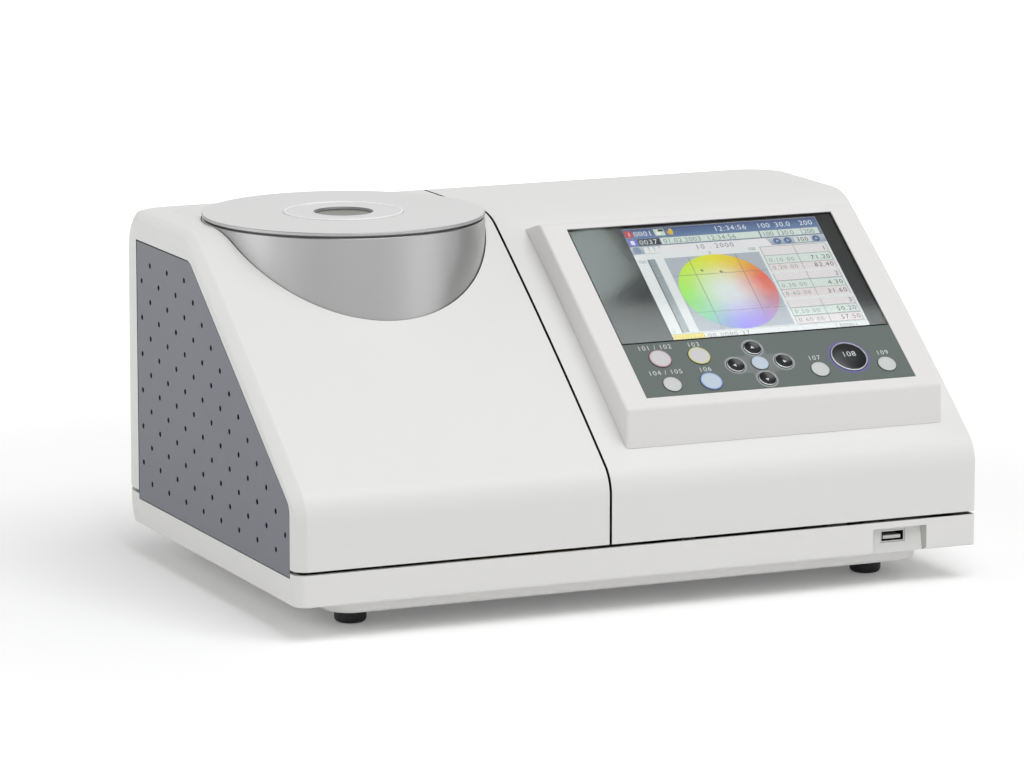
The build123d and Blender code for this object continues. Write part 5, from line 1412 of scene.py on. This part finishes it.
for u in (92.7, 65.3):
    patch(grid_left, grid_right, u - 0.14, u + 0.14, grid_ink, 5)
patch(85.2, 85.4, 66.5, 79.0, (196, 200, 214), 5)
patch(85.4, 98.0, 78.9, 79.1, (214, 208, 208), 5)
for x, u in ((75.8, 95.5), (86.4, 93.7)):
    for half_x, half_u in ((1.0, 0.28), (0.28, 1.0)):
        patch(x - half_x, x + half_x, u - half_u, u + half_u, (112, 122, 104), 6)
# Table of figures: three groups with a heading and two rows each.
heading, reading, target = (240, 234, 236), (226, 238, 232), (240, 230, 232)
table_rows = (
    (103.1, 109.4, heading, "", "1"),
    (96.7, 102.7, reading, "0.10", "71.20"),
    (91.1, 96.3, target, "0.20", "82.40"),
    (84.1, 89.7, heading, "", "2"),
    (77.6, 83.5, reading, "0.30", "4.30"),
    (71.4, 77.2, target, "0.40", "31.60"),
    (64.0, 69.1, heading, "", "3"),
    (58.0, 63.4, reading, "0.50", "50.20"),
    (51.8, 57.2, target, "0.60", "57.50"),
)
table_left, table_right = 115.2, 154.6
patch(table_left, table_right, 51.4, 109.8, (158, 170, 170), 1)
for low, high, colour, left_text, right_text in table_rows:
    patch(table_left + 0.4, 134.9, low, high, colour, 2)
    patch(135.3, table_right - 0.4, low, high, colour, 2)
    if left_text:
        figures(left_text + " 00", 117.0, low + 1.3, 2.8, (150, 158, 156), spacing=1.25)
    figures(right_text, 153.4, low + 1.2, 3.1, dark_ink, align="RIGHT", spacing=1.2)
for low, high in ((89.7, 91.1), (69.1, 71.4)):
    patch(table_left, table_right, low, high, (240, 242, 243), 2)
# Foot of the picture.
patch(view_left, view_right, 50.9, 51.3, (196, 202, 200), 1)
patch(41.6, 59.8, 46.3, 50.8, (240, 222, 96), 1)
figures("00 0000 37", 61.4, 46.9, 3.0, (120, 128, 126), spacing=1.25)
patch(136.8, 137.1, 46.4, 50.8, (176, 184, 184), 2)
figures("00001", 138.6, 46.9, 2.9, (140, 148, 146), spacing=1.1)

# The picture's light: its tints are kept on the mesh, and the backlight is a little uneven over the
# screen.


def lit_material(name, strength):
    """A dark material that glows from behind; its colour is wired in afterwards."""
    material, tree, shader = plain_material(name)
    shader.inputs["Emission Strength"].default_value = strength
    shader.inputs["Base Color"].default_value = (0.02, 0.02, 0.02, 1)
    shader.inputs["Roughness"].default_value = 0.5
    return material, tree, shader


picture_light, tree, shader = lit_material("picture_light", 0.86)
tint_node = tree.nodes.new("ShaderNodeAttribute")
tint_node.attribute_name = "tint"
glow_noise = noise_node(tree, tree.nodes.new("ShaderNodeTexCoord").outputs["Object"], 18.0, 2.0)
glow = math_node(tree, "MULTIPLY", math_node(tree, "SUBTRACT", glow_noise, 0.5), 0.05)
wire(tree, shade_colour(tree, tint_node.outputs["Color"], glow), shader.inputs["Emission Color"])
picture = new_piece("screen_picture", picture_points, picture_faces, picture_light)
tints = picture.data.color_attributes.new("tint", "FLOAT_COLOR", "CORNER")
corner = 0
for colours in picture_tints:
    for colour in colours:
        tints.data[corner].color = (*colour, 1.0)
        corner += 1
hand_over(picture, "base", "display")

# Disc of hues: a round colour chart on the screen, with its hues round the rim and white in the
# middle.
hue_light, tree, shader = lit_material("hue_light", 0.9)
uv_place = tree.nodes.new("ShaderNodeUVMap")
uv_place.uv_map = "disc"
centred = tree.nodes.new("ShaderNodeMapping")
centred.inputs["Location"].default_value = (-0.5, -0.5, 0.0)
wire(tree, uv_place.outputs[0], centred.inputs["Vector"])
around = tree.nodes.new("ShaderNodeTexGradient")
around.gradient_type = "RADIAL"
wire(tree, centred.outputs[0], around.inputs["Vector"])
hue_stops = (
    (0.0, (166, 246, 106)),
    (0.12, (128, 214, 172)),
    (0.19, (138, 160, 220)),
    (0.25, (146, 126, 246)),
    (0.33, (158, 132, 232)),
    (0.42, (196, 142, 176)),
    (0.50, (234, 124, 104)),
    (0.56, (238, 104, 84)),
    (0.62, (240, 160, 56)),
    (0.68, (240, 208, 40)),
    (0.76, (236, 230, 40)),
    (0.86, (206, 242, 60)),
    (1.0, (166, 246, 106)),
)
hues = colour_ramp(tree, [(position, srgb(*colour)) for position, colour in hue_stops])
wire(tree, around.outputs["Fac"], hues.inputs["Fac"])
outward = tree.nodes.new("ShaderNodeVectorMath")
outward.operation = "LENGTH"
wire(tree, centred.outputs[0], outward.inputs[0])
fullness = colour_ramp(tree, [(0.02, (0.02, 0.02, 0.02)), (0.47, (1, 1, 1))], "EASE")
wire(tree, outward.outputs["Value"], fullness.inputs["Fac"])
blend = tree.nodes.new("ShaderNodeMix")
blend.data_type = "RGBA"
blend.inputs["A"].default_value = (*srgb(232, 240, 240), 1)
wire(tree, fullness.outputs["Color"], blend.inputs["Factor"])
wire(tree, hues.outputs["Color"], blend.inputs["B"])
wire(tree, blend.outputs["Result"], shader.inputs["Emission Color"])
disc_x, disc_u, disc_radius = 85.4, 79.1, 27.7
disc_layer = 3
disc_points = [picture_point(disc_x, disc_u, disc_layer)]
disc_uv = [(0.5, 0.5)]
rings, sides = 8, 72
for ring in range(1, rings + 1):
    for k in range(sides):
        angle = 2 * pi * k / sides
        reach = disc_radius * ring / rings
        disc_points.append(
            picture_point(disc_x + reach * cos(angle), disc_u + reach * sin(angle), disc_layer)
        )
        disc_uv.append((0.5 + 0.5 * ring / rings * cos(angle), 0.5 + 0.5 * ring / rings * sin(angle)))
disc_faces = [(0, 1 + k, 1 + (k + 1) % sides) for k in range(sides)]
for ring in range(rings - 1):
    a, b = 1 + ring * sides, 1 + (ring + 1) * sides
    disc_faces += [(a + k, b + k, b + (k + 1) % sides, a + (k + 1) % sides) for k in range(sides)]
hue_disc = new_piece("screen_hues", disc_points, disc_faces, hue_light)
uv_layer = hue_disc.data.uv_layers.new(name="disc")
for loop in hue_disc.data.loops:
    uv_layer.data[loop.index].uv = disc_uv[loop.vertex_index]
hand_over(hue_disc, "base", "display")

# Keypad plate: a rigid plastic plate under a satin printed film, with a round hole for each key;
# the cross behind the four direction keys, the halos and the numbers are printed on the film.
film_place = bpy.data.node_groups.new("face_place", "ShaderNodeTree")
film_place.interface.new_socket("Place", in_out="OUTPUT", socket_type="NodeSocketVector")
place_out = film_place.nodes.new("NodeGroupOutput")
to_face = film_place.nodes.new("ShaderNodeMapping")
to_face.vector_type = "TEXTURE"
to_face.inputs["Location"].default_value = (0.0, face_front_y * 0.001, face_front_z * 0.001)
to_face.inputs["Rotation"].default_value = (face_angle, 0.0, 0.0)
to_face.inputs["Scale"].default_value = (0.001, 0.001, 0.001)
wire(film_place, film_place.nodes.new("ShaderNodeTexCoord").outputs["Object"], to_face.inputs["Vector"])
flattened = film_place.nodes.new("ShaderNodeVectorMath")
flattened.operation = "MULTIPLY"
flattened.inputs[1].default_value = (1.0, 1.0, 0.0)
wire(film_place, to_face.outputs[0], flattened.inputs[0])
wire(film_place, flattened.outputs[0], place_out.inputs["Place"])

key_layout = {
    "sample_key": (27.6, 33.5, 6.0),
    "calibration_key": (50.0, 33.5, 6.0),
    "detail_key": (27.6, 15.0, 5.0),
    "menu_key": (50.0, 15.0, 6.0),
    "up_key": (82.0, 36.2, 5.0),
    "down_key": (82.0, 13.8, 5.0),
    "left_key": (68.0, 25.0, 5.0),
    "right_key": (96.0, 25.0, 5.0),
    "enter_key": (82.0, 25.0, 4.7),
    "back_key": (114.2, 17.2, 5.0),
    "measure_key": (134.1, 24.5, 10.2),
    "print_key": (153.5, 17.2, 5.0),
}


def print_mask(tree, place, ends, full, none):
    """Printed shape round a line between two points: 1 up to a distance, then fading to 0."""
    (x0, u0), (x1, u1) = ends
    middle = tree.nodes.new("ShaderNodeVectorMath")
    middle.operation = "SUBTRACT"
    wire(tree, place, middle.inputs[0])
    middle.inputs[1].default_value = ((x0 + x1) / 2, (u0 + u1) / 2, 0.0)
    parts = tree.nodes.new("ShaderNodeSeparateXYZ")
    wire(tree, middle.outputs[0], parts.inputs[0])
    squares = []
    for axis, half in (("X", abs(x1 - x0) / 2), ("Y", abs(u1 - u0) / 2)):
        beyond = math_node(tree, "SUBTRACT", math_node(tree, "ABSOLUTE", parts.outputs[axis]), half)
        squares.append(math_node(tree, "POWER", math_node(tree, "MAXIMUM", beyond, 0.0), 2.0))
    distance = math_node(tree, "SQRT", math_node(tree, "ADD", *squares))
    return eased(tree, distance, full, none, 1.0, 0.0)


def print_over(tree, base, mask, colour):
    """Print a colour over another through a mask."""
    ink = tree.nodes.new("ShaderNodeMix")
    ink.data_type = "RGBA"
    wire(tree, mask, ink.inputs["Factor"])
    wire(tree, base, ink.inputs["A"])
    ink.inputs["B"].default_value = (*colour, 1)
    return ink.outputs["Result"]


film, tree, shader = plain_material("keypad_film")
grain = placed_group(
    tree, mould_grain, Colour=(0.115, 0.145, 0.133, 1), Shade=0.06, Roughness=0.46, Stipple_Size=2600.0
)
place = placed_group(tree, film_place).outputs[0]
ink = grain.outputs["Colour"]
level_cross = print_mask(tree, place, ((68.0, 25.0), (96.0, 25.0)), 5.7, 6.6)
upright_cross = print_mask(tree, place, ((82.0, 13.8), (82.0, 36.2)), 5.7, 6.6)
cross = math_node(tree, "MAXIMUM", level_cross, upright_cross)
ink = print_over(tree, ink, cross, (0.175, 0.197, 0.19))
for key_name in ("up_key", "down_key", "left_key", "right_key"):
    x, u, radius = key_layout[key_name]
    halo = print_mask(tree, place, ((x, u), (x, u)), radius + 0.1, radius + 1.5)
    ink = print_over(tree, ink, halo, (0.47, 0.5, 0.5))
x, u, radius = key_layout["measure_key"]
violet = print_mask(tree, place, ((x, u), (x, u)), radius + 0.3, radius + 1.9)
ink = print_over(tree, ink, violet, (0.17, 0.12, 0.46))
wire(tree, ink, shader.inputs["Base Color"])
wire(tree, grain.outputs["Roughness"], shader.inputs["Roughness"])
bumped(tree, shader, grain.outputs["Height"], 0.00001)
keypad = soften("keypad_panel", 0.12, film)
label_white = moulded("label_white", (0.62, 0.66, 0.65), 0.5, shade=0.05)


def label(text, x, u, height, n, spacing):
    """Printed figures, centred on a point of the face, as a thin layer of ink."""
    points, faces = text_mesh(text, height / 0.7, "CENTER", spacing)
    placed = [face_point(x + a, u + b - height / 2, n) for a, b, c in points]
    return new_piece("label", placed, faces, label_white)


for text, x, u in (
    ("101 / 102", 27.4, 42.0),
    ("103", 49.8, 42.0),
    ("104 / 105", 27.0, 24.0),
    ("106", 49.8, 24.0),
    ("107", 114.0, 25.9),
    ("109", 154.2, 25.9),
):
    join(keypad, label(text, x, u, 3.1, -0.188, spacing=1.15))
hand_over(keypad, "base", "keypad_face", "keypad_panel")

# Keys: moulded caps that press in against switches. The white ones have a flat top, some with a
# tinted edge; the dark ones are dished, with a bright rim and a white triangle.
key_white = moulded("key_white", (0.60, 0.60, 0.61), 0.34, shade=0.02, stipple=2400.0)
key_grey_white = moulded("key_grey_white", (0.60, 0.62, 0.61), 0.36, shade=0.02, stipple=2400.0)
key_ice = moulded("key_ice", (0.52, 0.60, 0.70), 0.30, shade=0.03)
key_black = moulded("key_black", (0.008, 0.009, 0.011), 0.22, shade=0.2)
key_skirt = moulded("key_skirt", (0.16, 0.17, 0.17), 0.5)
rim_silver = moulded("rim_silver", (0.62, 0.63, 0.65), 0.3, metallic=1.0)
ring_pink = moulded("ring_pink", (0.60, 0.36, 0.42), 0.35)
ring_yellow = moulded("ring_yellow", (0.66, 0.64, 0.18), 0.35)
ring_blue = moulded("ring_blue", (0.27, 0.40, 0.72), 0.35)


def key_cap(name, radius, top_profile, top_material, edge_material, edge_width):
    """A cap round its own axis; the faces outside its edge width take the edge's material."""
    proud, rounding = 0.5, 0.35
    collar, collar_top, collar_low = radius + 0.4, -2.5, -3.7
    profile = list(top_profile)
    profile += [tuple(p) for p, n in arc((radius - rounding, proud - rounding), rounding, pi / 2, 0, 6)]
    profile += [(radius, collar_top), (collar - 0.15, collar_top), (collar, collar_top - 0.15)]
    profile += [(collar, collar_low + 0.15), (collar - 0.15, collar_low), (0.0, collar_low)]
    cap = lathe(name, profile, 0, 0, top_material, steps=72)
    inner = radius - edge_width
    skirt_top = -0.8
    shade_faces(cap, edge_material, lambda p, normal: hypot(p.x, p.y) > inner and p.z > skirt_top)
    shade_faces(cap, key_skirt, lambda p, normal: p.z <= skirt_top)
    return cap


def flat_top(radius, edge_width):
    """A nearly flat top with a shallow groove inside the tinted edge."""
    inner = radius - edge_width
    return [(0.0, 0.42), (inner - 0.5, 0.44), (inner - 0.15, 0.42), (inner, 0.40), (inner + 0.05, 0.49)]


def dished_top(radius, edge_width, depth):
    """A dish that falls from a narrow rim to the middle."""
    inner = radius - edge_width
    dish = [(inner * k / 12, 0.40 - depth * (1 - (k / 12) ** 2)) for k in range(13)]
    return dish + [(inner + 0.06, 0.49)]


def domed_top(radius, edge_width, rise):
    """A shallow dome inside a raised rim."""
    inner = radius - edge_width
    dome = [(inner * k / 16, 0.48 - rise * (k / 16) ** 2.4) for k in range(17)]
    return dome + [(inner + 0.10, 0.47)]


white_keys = {
    "sample_key": (key_white, ring_pink, 0.62),
    "calibration_key": (key_white, ring_yellow, 0.62),
    "detail_key": (key_grey_white, key_grey_white, 0.35),
    "menu_key": (key_ice, ring_blue, 0.7),
    "enter_key": (key_ice, key_ice, 0.35),
    "back_key": (key_grey_white, key_grey_white, 0.35),
    "print_key": (key_grey_white, key_grey_white, 0.35),
}
for key_name, (face_material, edge_material, edge_width) in white_keys.items():
    x, u, radius = key_layout[key_name]
    top = flat_top(radius, edge_width)
    cap = key_cap(key_name + "_cap", radius, top, face_material, edge_material, edge_width)
    lay(cap, x, u)
    hand_over(cap, key_name, "key_blue" if key_name == "enter_key" else "key_white", key_name)
rim_width, dish_depth = 0.42, 0.55
for key_name, (lean_x, lean_u) in {
    "up_key": (0, 1),
    "down_key": (0, -1),
    "left_key": (-1, 0),
    "right_key": (1, 0),
}.items():
    x, u, radius = key_layout[key_name]
    top = dished_top(radius, rim_width, dish_depth)
    cap = key_cap(key_name + "_cap", radius, top, key_black, rim_silver, rim_width)
    floor = []
    for ahead, aside in ((1.15, 0.0), (-0.75, 1.05), (-0.75, -1.05)):
        a = ahead * lean_x - aside * lean_u + lean_x * 0.5
        b = ahead * lean_u + aside * lean_x + lean_u * 0.5
        fall = dish_depth * (1 - (hypot(a, b) / (radius - rim_width)) ** 2)
        floor.append((a, b, 0.40 - fall + 0.03))
    join(cap, outwards(new_piece("mark", floor, [(0, 1, 2)], label_white)))
    lay(cap, x, u)
    hand_over(cap, key_name, "key_dark", key_name)
x, u, radius = key_layout["measure_key"]
big_cap = key_cap("measure_key_cap", radius, domed_top(radius, 0.8, 0.5), key_black, rim_silver, 0.8)
lay(big_cap, x, u)
join(big_cap, label("108", x + 0.2, u + 1.6, 3.6, 0.492, spacing=1.1))
hand_over(big_cap, "measure_key", "key_dark", "measure_key")

# Front socket: a folded steel shell round a pale tongue with four contacts, soldered to a small
# green board behind the tray's front wall.
circuit_tracks, tracks_in, tracks_out = finish_group("circuit_tracks", (
    ("Lacquer", "Color", (0.012, 0.09, 0.035, 1)),
    ("Copper", "Color", (0.03, 0.17, 0.07, 1)),
    ("Cell Size", "Float", 260.0),
))
tracks_place = circuit_tracks.nodes.new("ShaderNodeTexCoord").outputs["Object"]
cells = circuit_tracks.nodes.new("ShaderNodeTexVoronoi")
cells.distance = "CHEBYCHEV"
cells.feature = "F1"
wire(circuit_tracks, tracks_place, cells.inputs["Vector"])
wire(circuit_tracks, tracks_in.outputs["Cell Size"], cells.inputs["Scale"])
track_step = math_node(circuit_tracks, "MULTIPLY", cells.outputs["Distance"], 4.0)
track_mask = math_node(circuit_tracks, "LESS_THAN", math_node(circuit_tracks, "FRACT", track_step), 0.35)
copper_mix = circuit_tracks.nodes.new("ShaderNodeMix")
copper_mix.data_type = "RGBA"
wire(circuit_tracks, track_mask, copper_mix.inputs["Factor"])
wire(circuit_tracks, tracks_in.outputs["Lacquer"], copper_mix.inputs["A"])
wire(circuit_tracks, tracks_in.outputs["Copper"], copper_mix.inputs["B"])
wire(circuit_tracks, copper_mix.outputs["Result"], tracks_out.inputs["Colour"])
track_gloss = math_node(circuit_tracks, "MULTIPLY_ADD", track_mask, -0.08, 0.42)
wire(circuit_tracks, track_gloss, tracks_out.inputs["Roughness"])
wire(circuit_tracks, track_mask, tracks_out.inputs["Height"])

board_green = finished("board_green", circuit_tracks, 0.00003)
shell_steel = moulded("shell_steel", (0.56, 0.56, 0.55), 0.28, shade=0.1, stipple=900.0, metallic=1.0)
contact_gold = moulded("contact_gold", (0.78, 0.56, 0.22), 0.25, shade=0.1, metallic=1.0)
connector_black = moulded("connector_black", (0.012, 0.012, 0.013), 0.42, shade=0.2)
tongue_white = moulded("tongue_white", (0.70, 0.70, 0.69), 0.45)

front_socket_x = 145.0
front_socket = soften("front_usb_socket", 0.08, shell_steel)


def on_front_tongue(p):
    """Whether a point lies within the front socket's tongue."""
    return abs(p.x - front_socket_x) < 5.3 and 24.7 < p.z < 26.7


def in_front_mouth(p, normal):
    """The front socket's inside, round its tongue."""
    inside = -126.6 < p.y < -113.2 and abs(p.x - front_socket_x) < 6.6 and 23.7 < p.z < 29.1
    return inside and not on_front_tongue(p)


shade_faces(front_socket, tongue_white, lambda p, normal: on_front_tongue(p) and p.y < -113.5)
shade_faces(front_socket, connector_black, in_front_mouth)
contact = box("contact", (-0.5, -125.8, 24.76), (0.5, -116.0, 24.83), contact_gold)
contact_places = [(front_socket_x + x, 0, 0) for x in (-3.5, -1.0, 1.0, 3.5)]
join(front_socket, set_out("contacts", contact, contact_places, contact_gold))
hand_over(front_socket, "base", "zinc_steel", "front_usb_socket")
front_board = soften("front_usb_board", 0.1, board_green)
hand_over(front_board, "base", "board_green", "front_usb_board")

# Rear connector plate: a brushed zinc-plated sheet with one opening per connector and a plain
# pictogram printed under each of them.
zinc_steel = moulded("zinc_steel", (0.52, 0.53, 0.53), 0.36, shade=0.12, stipple=420.0, metallic=1.0)
print_dark = moulded("print_dark", (0.03, 0.03, 0.032), 0.5, shade=0.1)
print_white = moulded("print_white", (0.72, 0.72, 0.71), 0.5, shade=0.05)
rear_plate = soften("rear_connector_plate", 0.12, zinc_steel)


def ring_mark(name, outer, inner, *materials):
    """A flat ring, upright in the XZ plane and facing the rear."""
    points, faces = [], []
    sides = 32
    for k in range(sides):
        angle = 2 * pi * k / sides
        points += [(radius * cos(angle), 0.0, radius * sin(angle)) for radius in (outer, inner)]
        a, b = 2 * k, 2 * ((k + 1) % sides)
        faces.append((a, a + 1, b + 1, b))
    return new_piece(name, points, faces, *materials)


def shifted(piece, x, y, z):
    """Move the mesh of a piece by millimetres."""
    for vertex in piece.data.vertices:
        vertex.co += Vector((x, y, z)) * 0.001
    return piece


inlet_x, data_x, serial_x, connector_z = 127.0, 106.0, 79.0, 74.0
join(rear_plate, shifted(ring_mark("mark_ring", 1.5, 1.15, print_dark), inlet_x, 124.19, 62.5))
for x0, x1, z0, z1 in (
    (inlet_x - 0.4, inlet_x + 0.4, 62.1, 62.9),
    (data_x - 1.8, data_x + 1.8, 62.3, 62.7),
    (data_x - 0.2, data_x + 0.2, 61.0, 64.0),
    (serial_x - 3.0, serial_x + 3.0, 61.6, 61.9),
    (serial_x - 2.2, serial_x + 2.2, 63.1, 63.4),
):
    join(rear_plate, box("mark_bar", (x0, 124.17, z0), (x1, 124.195, z1), print_dark))
hand_over(rear_plate, "base", "zinc_steel", "rear_connector_plate")

# Power switch: a snap-in black frame and a rocker that tilts on two pins, with the usual bar and
# ring printed on its two ends.
switch_frame = soften("power_switch_frame", 0.2, connector_black)
hand_over(switch_frame, "base", "black_plastic", "power_switch_frame")
rocker = soften("power_rocker", 0.25, connector_black)


def printed_on(piece, mark, lift):
    """Drop the points of a mark on a piece from behind and lift them a little."""
    for vertex in mark.data.vertices:
        origin = Vector((vertex.co.x, 0.2, vertex.co.z))
        hit, place, normal, face = piece.ray_cast(origin, Vector((0.0, -1.0, 0.0)))
        if hit:
            vertex.co = place + normal * lift * 0.001
    return mark


low_end, high_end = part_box("power_rocker")
middle_z = (low_end[2] + high_end[2]) * 500.0
rocker_x = 152.0
bar_left, bar_right = rocker_x - 0.25, rocker_x + 0.25
bar_low, bar_high = middle_z + 2.9, middle_z + 6.0
bar_corners = [(bar_left, bar_low), (bar_right, bar_low), (bar_right, bar_high), (bar_left, bar_high)]
off_ring = shifted(ring_mark("off_ring", 1.6, 1.2, print_white), rocker_x, 0.0, middle_z - 4.4)
on_bar = prism("on_bar", bar_corners, lambda a, b, end: (a, 0.01 * end, b), print_white)
for mark in (off_ring, on_bar):
    join(rocker, printed_on(rocker, mark, 0.02))
hand_over(rocker, "power_rocker", "black_plastic", "power_rocker")

# Power inlet, data socket and serial port: moulded inserts in metal shells, with plated pins.
inlet = soften("dc_inlet", 0.2, connector_black)
shade_faces(inlet, contact_gold, lambda p, normal: hypot(p.x - inlet_x, p.z - connector_z) < 1.15)
hand_over(inlet, "base", "black_plastic", "dc_inlet")
data_socket = soften("usb_b_socket", 0.15, shell_steel)


def on_data_tongue(p):
    """Whether a point lies within the data socket's tongue."""
    return abs(p.x - data_x) < 2.9 and abs(p.z - connector_z) < 1.7


def in_data_mouth(p, normal):
    """The data socket's inside, round its tongue."""
    inside = 112.0 < p.y < 121.0 and abs(p.x - data_x) < 4.5 and abs(p.z - connector_z) < 4.1
    return inside and not on_data_tongue(p)


def on_serial_insert(p, normal):
    """The serial port's black insert, which carries its pins."""
    inside = 124.5 < p.y < 126.0 and abs(p.x - serial_x) < 8.3 and abs(p.z - connector_z) < 3.6
    return inside and normal.y > 0.9


shade_faces(data_socket, tongue_white, lambda p, normal: on_data_tongue(p) and p.y > 112.0)
shade_faces(data_socket, connector_black, in_data_mouth)
hand_over(data_socket, "base", "zinc_steel", "usb_b_socket")
serial = soften("serial_connector", 0.15, shell_steel)
shade_faces(serial, connector_black, on_serial_insert)
pin_floor = 125.0
pin_profile = [(0.0, 0.0), (0.5, 0.0), (0.5, 3.9), (0.35, 4.3), (0.0, 4.4)]
pin = lathe("pin", pin_profile, 0, 0, contact_gold, steps=16)
for vertex in pin.data.vertices:
    x, y, z = vertex.co
    vertex.co = (x, z, y)
pin_pitch = 2.76
pin_places = [(serial_x + pin_pitch * (k - 2), pin_floor, 75.4) for k in range(5)]
pin_places += [(serial_x + pin_pitch * (k - 1.5), pin_floor, 72.6) for k in range(4)]
join(serial, outwards(set_out("serial_pins", pin, pin_places, contact_gold)))
hand_over(serial, "base", "zinc_steel", "serial_connector")

# Slide: two ground steel rods in four cast blocks, and four bronze-lined bushes under a zinc-plated
# carriage plate.
rod_steel = turned("rod_steel", (0.62, 0.62, 0.61), 0.16, streak=0.05, depth=0.000001)
cast_grey = moulded(
    "cast_grey", (0.40, 0.40, 0.39), 0.52, shade=0.12, stipple=700.0, depth=0.00006, metallic=0.9
)
bush_bronze = moulded("bush_bronze", (0.46, 0.30, 0.12), 0.38, shade=0.15, stipple=900.0, metallic=1.0)
for node_name, body, width, material, slot in (
    ("guide_rods", "base", 0.4, rod_steel, "ground_steel"),
    ("rod_blocks", "base", 0.6, cast_grey, "cast_metal"),
    ("slide_bushes", "carriage", 0.5, bush_bronze, "bearing_bronze"),
    ("carriage_plate", "carriage", 0.4, zinc_steel, "zinc_steel"),
):
    hand_over(soften(node_name, width, material), body, slot, node_name)

# Sample bay: a black-painted floor, wall and liner on the right and a matching end wall with its
# port ring on the sliding unit; all matt, so that no stray light comes back.
matt_black = moulded("matt_black", (0.012, 0.012, 0.0125), 0.72, shade=0.3, stipple=1100.0, depth=0.00004)
liner_black = moulded("liner_black", (0.016, 0.016, 0.017), 0.6, shade=0.2, stipple=1400.0)
lens_glass = clear_glass("lens_glass", (0.86, 0.93, 0.98), 0.9, 60.0, 2.0, 0.03, 0.02)
for node_name, body, width, material, slot in (
    ("chamber_floor", "base", 0.3, matt_black, "black_sheet"),
    ("chamber_shroud", "base", 0.25, liner_black, "black_plastic"),
    ("receiver_wall", "base", 0.2, matt_black, "black_sheet"),
    ("carriage_wall", "carriage", 0.2, matt_black, "black_sheet"),
    ("transmission_port_ring", "carriage", 0.3, liner_black, "black_plastic"),
):
    hand_over(soften(node_name, width, material), body, slot, node_name)
lens = soften("receiver_lens", 0.25, lens_glass)
sphere_middle = Vector((port_x, port_y, 115.0))
shade_faces(lens, matt_black, lambda p, normal: hypot(p.y - port_y, p.z - sphere_middle.z) > 13.2)
hand_over(lens, "base", "optical_glass", "receiver_lens")

# Integrating sphere: two cast halves screwed together at their flanges and coated matt white
# inside, on a black cradle ring. A faint glow stands for the many bounces of light in the sphere.
sphere_coating = moulded("sphere_coating", (0.86, 0.86, 0.84), 0.85, shade=0.02, stipple=1500.0)
coated = sphere_coating.node_tree.nodes["Principled BSDF"]
coated.inputs["Emission Color"].default_value = (1.0, 1.0, 0.98, 1)
coated.inputs["Emission Strength"].default_value = 0.08
for node_name in ("sphere_upper_half", "sphere_lower_half"):
    half = soften(node_name, 0.0, cast_grey)
    shade_faces(half, sphere_coating, lambda p, normal: (p - sphere_middle).length < 69.0)
    shade_faces(half, sphere_coating, lambda p, normal: from_port(p) < 24.6 and p.z > 178.0)
    hand_over(half, "carriage", "cast_metal", node_name)
for node_name, width, material, slot in (
    ("sphere_screws", 0.2, screw_steel, "zinc_steel"),
    ("sphere_cradle", 0.4, liner_black, "black_plastic"),
):
    hand_over(soften(node_name, width, material), "carriage", slot, node_name)

# Lamp: a cast box in front of the sphere with a xenon tube in its mouth, and the flash capacitor in
# a black sleeve with bare metal ends, lying on the carriage plate.
lamp_box = soften("lamp_housing", 0.5, cast_grey)
shade_faces(lamp_box, matt_black, lambda p, normal: hypot(p.x - port_x, p.z - 68.6) < 8.4 and p.y > -40.5)
hand_over(lamp_box, "carriage", "cast_metal", "lamp_housing")
tube_glass = clear_glass("tube_glass", (0.93, 0.95, 1.0), 0.7, 300.0, 2.0, 0.15, 0.12)
hand_over(soften("flash_lamp", 0.5, tube_glass), "carriage", "optical_glass", "flash_lamp")
capacitor = soften("lamp_capacitor", 0.0, connector_black)
shade_faces(capacitor, shell_steel, lambda p, normal: abs(normal.x) > 0.9)
hand_over(capacitor, "carriage", "black_plastic", "lamp_capacitor")

# Electronics: the die-cast spectrometer box, the main board with black chips on plated screws,
# and the board with the key switches under the bezel.
spectrometer = soften("spectrometer_housing", 0.6, cast_grey)
hand_over(spectrometer, "base", "cast_metal", "spectrometer_housing")
main_board = soften("main_circuit_board", 0.2, board_green)
shade_faces(main_board, connector_black, lambda p, normal: p.z > 22.3)
hand_over(main_board, "base", "board_green", "main_circuit_board")
hand_over(soften("board_screws", 0.25, screw_steel), "base", "zinc_steel", "board_screws")
key_board = soften("key_board", 0.15, board_green)
hand_over(key_board, "base", "board_green", "key_board")
